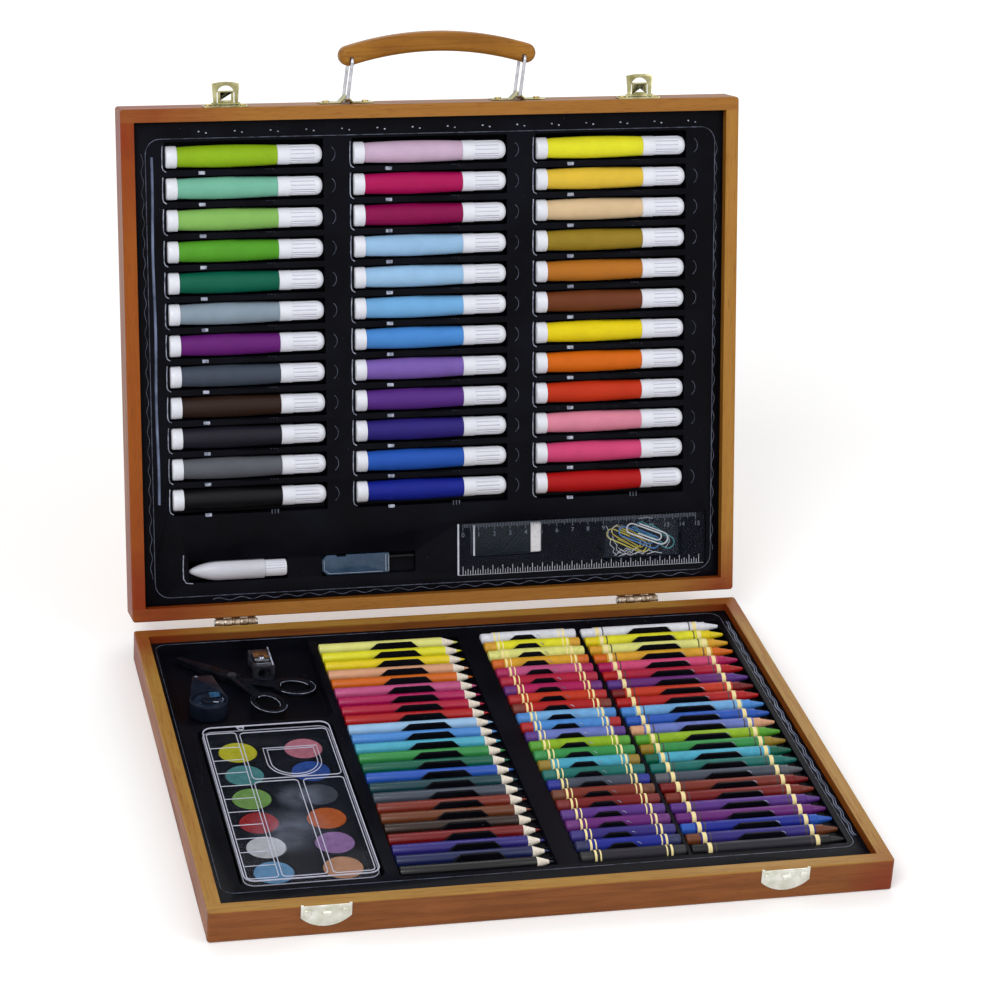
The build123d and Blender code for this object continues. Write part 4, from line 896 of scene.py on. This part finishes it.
def wrapped(kind, body, stick_node, wrap_node, stick_outline, paints, ends, finishes):
    """Sticks of wax in their paper wrappers, one in each row."""
    low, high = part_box(wrap_node)
    stick_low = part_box(stick_node)[0]
    level = (low.z + high.z) / 2
    radius = (high.z - low.z) / 2
    length = high.x - low.x
    stick = turned(f"{kind}_stick", stick_outline, 20)
    sticks = repeat(f"{kind}_wax", stick, along_rows(stick_low.x, level), ends)
    hand_over(sticks, body, f"{kind}_stick", finishes[0], stick_node)
    sheet = 0.4 * mm
    wrapper = turned(f"{kind}_wrapper", [
        (0, radius - sheet), (0.02 * mm, radius - 0.06 * mm), (0.2 * mm, radius), (length * 0.25, radius),
        (length * 0.5, radius), (length * 0.75, radius), (length - 0.2 * mm, radius),
        (length - 0.02 * mm, radius - 0.06 * mm), (length, radius - sheet),
    ], 24)
    measure_along(wrapper, length)
    wrappers = repeat(f"{kind}_paper", wrapper, along_rows(low.x, level), paints)
    hand_over(wrappers, body, f"{kind}_paper", finishes[1], wrap_node)


def pastels_and_crayons():
    pastel_length = 60 * mm
    pastel_radius = 3.66 * mm
    wrapped("pastel", "pastels", "pastel_sticks", "pastel_wrappers", [
        (0, pastel_radius - 0.8 * mm), (0.3 * mm, pastel_radius - 0.25 * mm), (0.9 * mm, pastel_radius),
        (pastel_length - 0.9 * mm, pastel_radius), (pastel_length - 0.3 * mm, pastel_radius - 0.25 * mm),
        (pastel_length, pastel_radius - 0.8 * mm),
    ], PASTEL_PAINTS, PASTEL_ENDS, ("stick", "pastel_paper"))
    crayon_length = 88.5 * mm
    crayon_radius = 3.36 * mm
    tip = 9 * mm
    wrapped("crayon", "crayons", "crayon_sticks", "crayon_wrappers", [
        (0, crayon_radius - 0.6 * mm), (0.3 * mm, crayon_radius - 0.2 * mm), (0.8 * mm, crayon_radius),
        (crayon_length - tip, crayon_radius), (crayon_length - tip * 0.94, crayon_radius * 0.82),
        (crayon_length - 0.5 * mm, 1.15 * mm), (crayon_length, 0.8 * mm),
    ], CRAYON_PAINTS, CRAYON_ENDS, ("wax", "crayon_paper"))


# Markers of the lid

def marker_places():
    return [at(x, y, marker_level) for x in marker_starts for y in marker_rows]


def markers():
    plug = turned("marker_plug", [
        (0, plug_radius - 1.2 * mm), (0.25 * mm, plug_radius - 0.45 * mm), (0.9 * mm, plug_radius),
        (plug_length - 0.3 * mm, plug_radius), (plug_length, plug_radius - 0.2 * mm),
    ])
    tint(plug, "white")
    plugs = repeat("marker_plugs_moulded", plug, marker_places())
    hand_over(plugs, "markers", "marker_white", "white_plastic", "marker_plugs", place=LID)
    waist = 5.85 * mm
    swell = marker_radius - waist
    steps = 12
    outline = [(plug_length, waist - 0.15 * mm)]
    for step in range(steps + 1):
        share = step / steps
        x = plug_length + 0.1 * mm + (barrel_length - 0.2 * mm) * share
        outline.append((x, waist + swell * math.sin(math.pi * share) ** 0.8 * 0.99))
    outline.append((plug_length + barrel_length, waist - 0.15 * mm))
    barrel = turned("marker_barrel", outline, 36, 50)
    inks = [ink for column in MARKER_INKS for ink in column]
    barrels = repeat("marker_barrels_moulded", barrel, marker_places(), inks)
    hand_over(barrels, "markers", "marker_barrel", "ink_barrel", "marker_barrels", place=LID)
    caps = repeat("marker_caps_ribbed", ribbed_cap(), marker_places())
    hand_over(caps, "markers", "marker_white", "white_plastic", "marker_caps", place=LID)


def ribbed_cap():
    """A cap with a smooth sleeve and grooves between the sleeve and its domed end."""
    start = plug_length + barrel_length
    sleeve = start + 7.5 * mm
    radius = 6.0 * mm
    thin = radius - 0.3 * mm
    dome = 4.5 * mm
    dome_start = marker_length - dome
    outline = [(start, radius - 0.25 * mm), (start + 0.25 * mm, radius), (sleeve - 0.2 * mm, radius)]
    outline += [(sleeve, thin), (dome_start - 0.2 * mm, thin)]
    steps = 6
    for step in range(1, steps + 1):
        turn = math.pi / 2 * step / steps
        round_off = max(0.3 * mm, thin * math.cos(turn) ** 0.75)
        outline.append((dome_start + dome * math.sin(turn) * 0.999, round_off))
    sides = 24
    turns = (-12, -8, -6, -4, -3, -2, 0, 2, 4, 5, 8, 10)
    cap = turned("marker_cap", outline, sides)
    return groove(cap, sides, turns, sleeve, dome_start, 0.45 * mm, 0.3 * mm)


# Small items of the lid

def correction_pen():
    low, high = lid_box("pen_body")
    cap_low, cap_high = lid_box("pen_cap")
    middle = (low + high) / 2
    length = high.x - low.x
    radius = (high.z - low.z) / 2
    tip = 0.9 * mm
    outline = [(0, 0.4 * mm), (0.3 * mm, tip)]
    nose = 19 * mm
    for step in range(1, 11):
        share = step / 10
        outline.append((nose * share, tip + (radius - tip) * math.sin(math.pi / 2 * share) ** 0.9))
    outline += [(length - 0.5 * mm, radius), (length, radius - 0.4 * mm)]
    body = turned("pen_body", outline, 40, 50)
    tint(body, "pen grey")
    hand_over(repeat("pen_body_moulded", body, [at(low.x, middle.y, middle.z)]),
              "pen", "marker_white", "white_plastic", "pen_body", place=LID)
    cap_length = cap_high.x - cap_low.x
    cap_radius = (cap_high.z - cap_low.z) / 2
    sides = 36
    cap = turned("pen_cap", [
        (0, cap_radius - 0.2 * mm), (0.2 * mm, cap_radius), (cap_length - 1 * mm, cap_radius),
        (cap_length - 0.3 * mm, cap_radius - 0.3 * mm), (cap_length, cap_radius - 0.9 * mm),
    ], sides)
    turns = (-18, -17, -16, -15, -14, -12, -10, -8, -6, 0, 2, 4, 6, 10, 12, 14, 16)
    groove(cap, sides, turns, 0.3 * mm, cap_length - 1.1 * mm, 0.22 * mm, 0.2 * mm)
    hand_over(repeat("pen_cap_ribbed", cap, [at(cap_low.x, middle.y, middle.z)]),
              "pen", "marker_white", "white_plastic", "pen_cap", place=LID)


def brush():
    soften("brush_handle", "brush_plastic", "brush", 0.5 * mm)
    dress("rod", "brush_rod")
    low, high = lid_box("brush_handle")
    skin = high.z - 0.05 * mm
    edge = mm
    # Pale lines of painted highlight along the handle's edges
    shine = [
        bead("brush_shine", [(x, low.y + edge, skin), (x, high.y - edge, skin)], 0.16 * mm)
        for x in (high.x - 0.4 * mm, high.x - 2.2 * mm)
    ]
    shine.append(bead("brush_shine", [
        (high.x - 4 * mm, low.y + edge, skin), (low.x + 4.6 * mm, low.y + edge, skin),
        (low.x + 1.4 * mm, low.y + 3.2 * mm, skin), (low.x + 1.1 * mm, high.y - 3 * mm, skin),
    ], 0.14 * mm))
    hand_over(join("brush_handle_shine", shine), "brush", "brush_plastic", "pale_line_painted_highlight", place=LID)


def ruler():
    """The clear ruler's prints: an inch scale at its front, a centimetre scale with numbers behind."""
    dress("ruler", "ruler")
    low, high = lid_box("ruler")
    top = high.z + 0.02 * mm
    start = low.x + 3.6 * mm
    inches_shown = 6
    sixteenth = 25.4 * mm / 16
    inch_ticks = []
    for step in range(16 * inches_shown + 1):
        height = 5.3 if step % 4 == 0 else 3.5 if step % 2 == 0 else 2.6
        inch_ticks.append(at(start + step * sixteenth, low.y + 0.4 * mm, top) @ tall(height))
    tick = slab("tick", -0.15 * mm, 0.15 * mm, 0, mm, -0.02 * mm, 0.04 * mm)
    inches = repeat("ruler_inches", tick, inch_ticks)
    # Pale strips along the ruler's left end and front edge: painted highlights on its clear edges
    edge = 0.3 * mm
    skin = top + 0.05 * mm
    rims = [
        slab("ruler_end", low.x + 0.1 * mm, low.x + 1.2 * mm, low.y + edge, high.y - edge, top, skin),
        slab("ruler_foot", low.x + mm, high.x - mm, low.y + 0.05 * mm, low.y + 0.25 * mm, top, skin),
    ]
    hand_over(join("ruler_inches", [inches] + rims), "ruler_set", "clear_plastic", "print", place=LID)
    fine_ticks = []
    millimetres_shown = 150
    for step in range(millimetres_shown + 1):
        height = 4.4 if step % 10 == 0 else 3.4 if step % 5 == 0 else 2.4
        fine_ticks.append(at(start + step * mm, high.y - (height + 0.4) * mm, top) @ tall(height))
    tick = slab("fine_tick", -0.14 * mm, 0.14 * mm, 0, mm, -0.02 * mm, 0.04 * mm)
    fine = repeat("ruler_fine_ticks", tick, fine_ticks)
    scale = join("ruler_fine_scale", [fine] + figures(start, high.y - 8.6 * mm, top))
    hand_over(scale, "ruler_set", "clear_plastic", "dim_print", place=LID)


def figures(start, foot, level):
    """The plain numbers 0 to 15, a centimetre apart."""
    made = []
    centimetre = 10 * mm
    for number in range(16):
        deselect()
        bpy.ops.object.text_add(location=(start + number * centimetre - 0.9 * mm, foot, level))
        figure = bpy.context.object
        figure.data.body = str(number)
        figure.data.size = 4.0 * mm
        figure.data.extrude = 0.03 * mm
        pick(figure)
        bpy.ops.object.convert(target="MESH")
        figure = named(f"figure_{number}")
        settle(figure)
        made.append(figure)
    return made


def eraser_and_bag():
    soften("eraser", "eraser_rubber", "rubber", 0.2 * mm, 50)
    soften("eraser_sleeve", "eraser_sleeve", "sleeve", 0.15 * mm)
    low, high = lid_box("eraser_sleeve")
    line = slab("sleeve_line", low.x + 1.2 * mm, low.x + 2.3 * mm, low.y + 0.3 * mm, high.y - 0.3 * mm,
                high.z - 0.1 * mm, high.z + 0.1 * mm)
    hand_over(line, "ruler_set", "eraser_sleeve", "print", place=LID)
    low, high = lid_box("clip_bag")
    bag = crumpled_bag(low, high)
    hand_over(bag, "ruler_set", "clear_plastic", "bag", "clip_bag", place=LID)
    # Pale lines along the creases: painted highlights
    creases = [bead("crease", [Vector(spot) * mm for spot in line], 0.2 * mm) for line in BAG_CREASES]
    hand_over(join("bag_creases", creases), "ruler_set", "clear_plastic", "crease", place=LID)
    coloured_clips(low)


def crumpled_bag(low, high):
    """A flat clear bag with creases, thin at its sealed rim and full in its middle."""
    inset = 0.4 * mm
    margin = 0.05 * mm
    piece = slab("bag", low.x + inset, high.x - inset, low.y + inset, high.y - inset,
                 low.z + inset, high.z - inset)
    edit(piece)
    bpy.ops.mesh.subdivide(number_cuts=40)
    bpy.ops.object.mode_set(mode="OBJECT")
    middle = (low + high) / 2
    half = (high - low) / 2 - Vector((inset, inset, inset))
    for vertex in piece.data.vertices:
        away = vertex.co - middle
        share_x = abs(away.x) / half.x
        share_y = abs(away.y) / half.y
        fullness = (max(0.0, 1 - share_x ** 4) * max(0.0, 1 - share_y ** 4)) ** 0.5
        crease = noise.ridged_multi_fractal(vertex.co * 150, 1.0, 2.2, 4, 0.9, 2.0)
        height = middle.z + away.z * (0.12 + 0.74 * fullness)
        height += (crease - 1.2) * 0.32 * mm * (0.3 + fullness)
        vertex.co.z = min(high.z - margin, max(low.z + margin, height))
        vertex.co.x += noise.noise(vertex.co * 90) * 0.35 * mm
        vertex.co.y += noise.noise(vertex.co * 110 + Vector((3, 1, 2))) * 0.35 * mm
    pick(piece)
    bpy.ops.object.shade_smooth_by_angle(angle=math.radians(28))
    return piece


def clip_line(long, wide):
    """The bent wire of a paper clip, as points in its own plane."""
    outer = wide / 2
    middle = outer * 0.82
    inner = outer * 0.6
    points = [(-long * 0.26, outer, 0)]
    points += arc((long * 0.5 - outer, 0), outer, 90, -90, 0)
    points += arc((-long * 0.5 + middle, -outer + middle), middle, 270, 90, 0)
    shift = -outer + 2 * middle
    points += arc((long * 0.26, shift - inner), inner, 90, -90, 0)
    points.append((-long * 0.2, shift - 2 * inner, 0))
    return points


def coloured_clips(low):
    """Five clips in a loose fan inside the bag, each at its place and turn."""
    clip_length = 28 * mm
    clip_width = 7.8 * mm
    made = []
    spots = [
        (124.5, -122.5, -26), (127, -121.5, -32), (132, -120.5, -24), (142, -119.4, -33),
        (136.5, -118, -22),
    ]
    for index, (x, y, angle) in enumerate(spots):
        clip = bead(f"clip_{index}", clip_line(clip_length, clip_width), 0.45 * mm, 2)
        turn = Matrix.Rotation(math.radians(angle), 4, "Z")
        clip.data.transform(at(x * mm, y * mm, low.z + (1.1 + 1.15 * index) * mm) @ turn)
        tint(clip, CLIP_PAINTS[index])
        made.append(clip)
    hand_over(join("coated_clips", made), "ruler_set", "small_steel", "clip", "paper_clips", place=LID)


# Palette

def palette():
    soften("palette_base", "palette_plastic", "palette", 0.4 * mm)
    pan_low, pan_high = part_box("paint_pans")
    radius = 11 * mm
    rows = 6
    pan_pitch = (pan_high.y - pan_low.y - 2 * radius) / (rows - 1)
    places = []
    paints = []
    for row, pair in enumerate(PAN_PAINTS):
        y = pan_low.y + radius + pan_pitch * row
        for x, paint in zip((pan_low.x + radius, pan_high.x - radius), pair):
            places.append(at(x, y, pan_low.z))
            paints.append(paint)
    thick = pan_high.z - pan_low.z
    pan = turned("pan", [
        (0, radius - 0.4 * mm), (0.3 * mm, radius), (thick - 0.5 * mm, radius),
        (thick - 0.1 * mm, radius - 0.4 * mm), (thick, radius - 0.9 * mm),
        (thick - 0.35 * mm, radius - 2.2 * mm), (thick - 0.35 * mm, radius * 0.4),
        (thick - 0.3 * mm, radius * 0.05),
    ], 48)
    pan.data.transform(Matrix.Rotation(-math.pi / 2, 4, "Y"))
    pans = repeat("paint_cakes", pan, places, paints)
    hand_over(pans, "palette", "paint_cake", "pan", "paint_pans")
    palette_cover()


def palette_cover():
    """The clear cover: a thin sheet with raised double edges, ladder rungs and a mixing well, their lines
    pale with painted highlights.
    """
    low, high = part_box("palette_cover")
    skin = 0.3 * mm
    sheet = slab("cover_sheet", low.x + skin, high.x - skin, low.y + skin, high.y - skin,
                 low.z, low.z + 1.1 * mm, skin)
    hand_over(sheet, "palette_lid", "clear_plastic", "cover", "palette_cover")
    top = high.z - 0.5 * mm
    lower = high.z - 1.4 * mm
    x0, x1, y0, y1 = low.x + 0.6 * mm, high.x - 0.6 * mm, low.y + 0.6 * mm, high.y - 0.6 * mm
    side = 2.4 * mm
    cell_x0 = low.x + 21.3 * mm
    ladder_x1 = low.x + 19.3 * mm
    middle = low.x + 47.55 * mm
    split = high.y - 61.6 * mm
    inner_back = high.y - 8.5 * mm
    band = 1.5 * mm
    cells = [
        (x0 + side * 0.6, ladder_x1, y0 + side, inner_back + mm, 2.4 * mm),
        (cell_x0, x1 - side, split + band, inner_back, 3 * mm),
        (cell_x0, middle - band, y0 + side, split - band, 2.6 * mm),
        (middle + band, x1 - side, y0 + side, split - band, 2.6 * mm),
    ]
    beads = [
        bead("rim_outer", round_outline(x0, x1, y0, y1, 6 * mm, top), 0.4 * mm),
        bead("rim_foot", round_outline(x0, x1, y0, y1, 6 * mm, low.z + 0.8 * mm), 0.3 * mm),
    ]
    for left, right, front, back, bend in cells:
        beads.append(bead("cell", round_outline(left, right, front, back, bend, top), 0.3 * mm))
    rungs = 10
    step = (inner_back - y0 - side) / (rungs + 1)
    for rung in range(1, rungs + 1):
        y = y0 + side + step * rung
        beads.append(bead("rung", [(x0 + side * 0.6, y, lower), (ladder_x1, y, lower)], 0.24 * mm))
    well_y = high.y - 43.6 * mm
    flat_y = high.y - 27.1 * mm
    for radius, inset in ((15.5 * mm, 0), (13.4 * mm, 2 * mm)):
        line = arc((middle, well_y), radius, 180, 360, top, 16)
        line = [(middle - radius, flat_y - inset, top)] + line + [(middle + radius, flat_y - inset, top)]
        beads.append(bead("mixing_well", line + line[:1], 0.28 * mm))
    beads.append(bead("ring", arc((low.x + 23 * mm, y1 - 2.4 * mm), 1.7 * mm, 0, 360, top, 16), 0.3 * mm))
    lug = slab("lug", low.x + 20.6 * mm, low.x + 25.4 * mm, y1 - 0.7 * mm, y1 + 0.3 * mm,
               lower, top + 0.3 * mm, 0.2 * mm)
    edges = join("palette_cover_edges", beads + [lug])
    hand_over(edges, "palette_lid", "clear_plastic", "pale_line_painted_highlight")


# Scissors, sharpener and tape dispenser

def tools():
    soften("scissors_lower", "scissors_plastic", "scissors", 0.35 * mm)
    soften("scissors_upper", "scissors_plastic", "scissors", 0.35 * mm)
    dress("rivet", "scissors_rivet")
    soften("sharpener_body", "sharpener_metal", "sharpener", 0.25 * mm)
    soften("sharpener_blade", "small_steel", "blade", 0.1 * mm)
    dress("blade", "sharpener_screw")
    soften("tape_dispenser", "dispenser_plastic", "dispenser", 0.4 * mm)
    soften("tape_roll", "tape_film", "tape", 0.25 * mm)
    loop_glints("scissors_lower", (-101.3 * mm, 94 * mm), math.radians(-20))
    loop_glints("scissors_upper", (-120.3 * mm, 72.8 * mm), math.radians(-64))
    low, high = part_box("tape_dispenser")
    under = high.z - 0.1 * mm
    patch = slab("tape_end", high.x - 10.5 * mm, high.x - 4.5 * mm, low.y + 13.5 * mm, low.y + 19 * mm,
                 under, high.z + 0.04 * mm)
    hand_over(patch, "base", "tape_film", "tape_end")
    # Pale dash, bracket and spot on the dispenser: painted highlights
    dash = bead("dash", [
        (high.x - 9.4 * mm, low.y + 7.6 * mm, high.z), (high.x - 6.4 * mm, low.y + 7.2 * mm, high.z),
    ], 0.3 * mm)
    bracket = bead("bracket", [
        (high.x - 3.6 * mm, low.y + 11.6 * mm, high.z), (high.x - 3.0 * mm, low.y + 9.4 * mm, high.z),
        (high.x - 4.6 * mm, low.y + 7.4 * mm, high.z),
    ], 0.22 * mm)
    spot = slab("spot", low.x + 6.8 * mm, low.x + 8.6 * mm, high.y - 1.6 * mm, high.y - 0.5 * mm,
                under, high.z + 0.3 * mm, 0.2 * mm)
    hand_over(join("dispenser_glints", [dash, bracket, spot]), "base", "dispenser_plastic", "bright_painted_highlight")
    # A pale bar along the sharpener's right edge: painted highlight
    low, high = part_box("sharpener_body")
    bar = slab("sharpener_bar", high.x - 1.4 * mm, high.x - 0.5 * mm, low.y + 1.5 * mm, high.y - 1.5 * mm,
               high.z - 0.2 * mm, high.z + 0.1 * mm, 0.08 * mm)
    hand_over(bar, "base", "sharpener_metal", "bright_painted_highlight")


def loop_glints(half, middle, turn):
    """Pale lines of painted highlight on the outer and inner edge of a scissors loop, on the side towards
    the front.
    """
    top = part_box(half)[1].z
    lines = []
    for long, wide, start, end in ((12.6, 9.6, -120, 50), (8.6, 5.6, 30, 200)):
        points = []
        for step in range(17):
            angle = math.radians(start + (end - start) * step / 16)
            spot = Vector((long * mm * math.cos(angle), wide * mm * math.sin(angle)))
            spot.rotate(Matrix.Rotation(turn, 2))
            points.append((middle[0] + spot.x, middle[1] + spot.y, top))
        lines.append(bead("loop_line", points, 0.2 * mm))
    hand_over(join(f"{half}_glints", lines), body_of_node(half), "scissors_plastic", "bright_painted_highlight")


# Camera, light and floor

def set_camera():
    """The photograph's viewpoint: its place, and how it turns, looks down and leans."""
    yaw, pitch, roll = (math.radians(angle) for angle in (14.54, 26.09, 3.69))
    ahead = Vector((math.sin(yaw) * math.cos(pitch), math.cos(yaw) * math.cos(pitch), -math.sin(pitch)))
    right = Vector((math.cos(yaw), -math.sin(yaw), 0))
    above = right.cross(ahead)
    right_leaning = right * math.cos(roll) + above * math.sin(roll)
    above_leaning = above * math.cos(roll) - right * math.sin(roll)
    view = bpy.data.cameras.new("viewpoint")
    view.sensor_width = 36
    view.lens = 117.3
    view.clip_start = 0.05
    view.clip_end = 60
    camera = bpy.data.objects.new("viewpoint", view)
    bpy.context.scene.collection.objects.link(camera)
    turn = Matrix((right_leaning, above_leaning, -ahead)).transposed()
    camera.matrix_world = Matrix.Translation((-0.415, -1.574, 0.970)) @ turn.to_4x4()
    bpy.context.scene.camera = camera


def lamp(name, place, target, size, power):
    light = bpy.data.lights.new(name, "AREA")
    light.shape = "SQUARE"
    light.size = size
    light.energy = power
    holder = bpy.data.objects.new(name, light)
    bpy.context.scene.collection.objects.link(holder)
    holder.location = place
    holder.rotation_euler = (Vector(target) - Vector(place)).to_track_quat("-Z", "Y").to_euler()


def set_light():
    lamp("key", (-1.3, -1.5, 2.2), (0, 0, 0.12), 1.4, 34)
    lamp("fill", (1.8, -1.2, 1.5), (0, 0, 0.12), 1.6, 14)
    lamp("back", (0.2, 1.8, 1.8), (0, 0, 0.1), 1.6, 14)
    world = bpy.data.worlds.new("studio")
    bpy.context.scene.world = world
    world.use_nodes = True
    tree = world.node_tree
    background = tree.nodes["Background"]
    paths = tree.nodes.new("ShaderNodeLightPath")
    shown = paths.outputs["Is Camera Ray"]
    for kind in ("Is Glossy Ray", "Is Transmission Ray"):
        seen = tree.nodes.new("ShaderNodeMath")
        seen.operation = "MAXIMUM"
        tree.links.new(shown, seen.inputs[0])
        tree.links.new(paths.outputs[kind], seen.inputs[1])
        shown = seen.outputs[0]
    strength = tree.nodes.new("ShaderNodeMapRange")
    lighting, seen_white = 0.56, 1.0
    strength.inputs["To Min"].default_value = lighting
    strength.inputs["To Max"].default_value = seen_white
    tree.links.new(shown, strength.inputs[0])
    tree.links.new(strength.outputs[0], background.inputs["Strength"])
    background.inputs["Color"].default_value = (1, 1, 1, 1)


def set_floor():
    """A plain white floor, whose far and lit parts read as white."""
    deselect()
    bpy.ops.mesh.primitive_plane_add(size=14, location=(0, 2, -0.0002))
    floor = named("floor")
    settle(floor)
    finish = Finish("white_floor", Roughness=0.9, Specular_IOR_Level=0.1)
    place = finish.place()
    cloud = finish.noise(place, 3)
    finish.colour(finish.mix(finish.spread(cloud, 0.3, 0.7), (0.93, 0.93, 0.93, 1), (0.96, 0.96, 0.96, 1)))
    shown = finish.node("LightPath").outputs["Is Camera Ray"]
    finish.shader.inputs["Emission Color"].default_value = (1, 1, 1, 1)
    veil = finish.near(place, (0, 0, 0), 0.8, 3.2, 0.12, 0.48)
    finish.feed(finish.shader.inputs["Emission Strength"], finish.math("MULTIPLY", shown, veil))
    floor.data.materials.append(finish.material)


dress_case()
form_trays()
lid_tray_marks()
base_tray_marks()
pencils()
pastels_and_crayons()
markers()
correction_pen()
brush()
ruler()
eraser_and_bag()
palette()
tools()
set_camera()
set_light()
set_floor()
scene = bpy.context.scene
scene.view_settings.view_transform = "Standard"
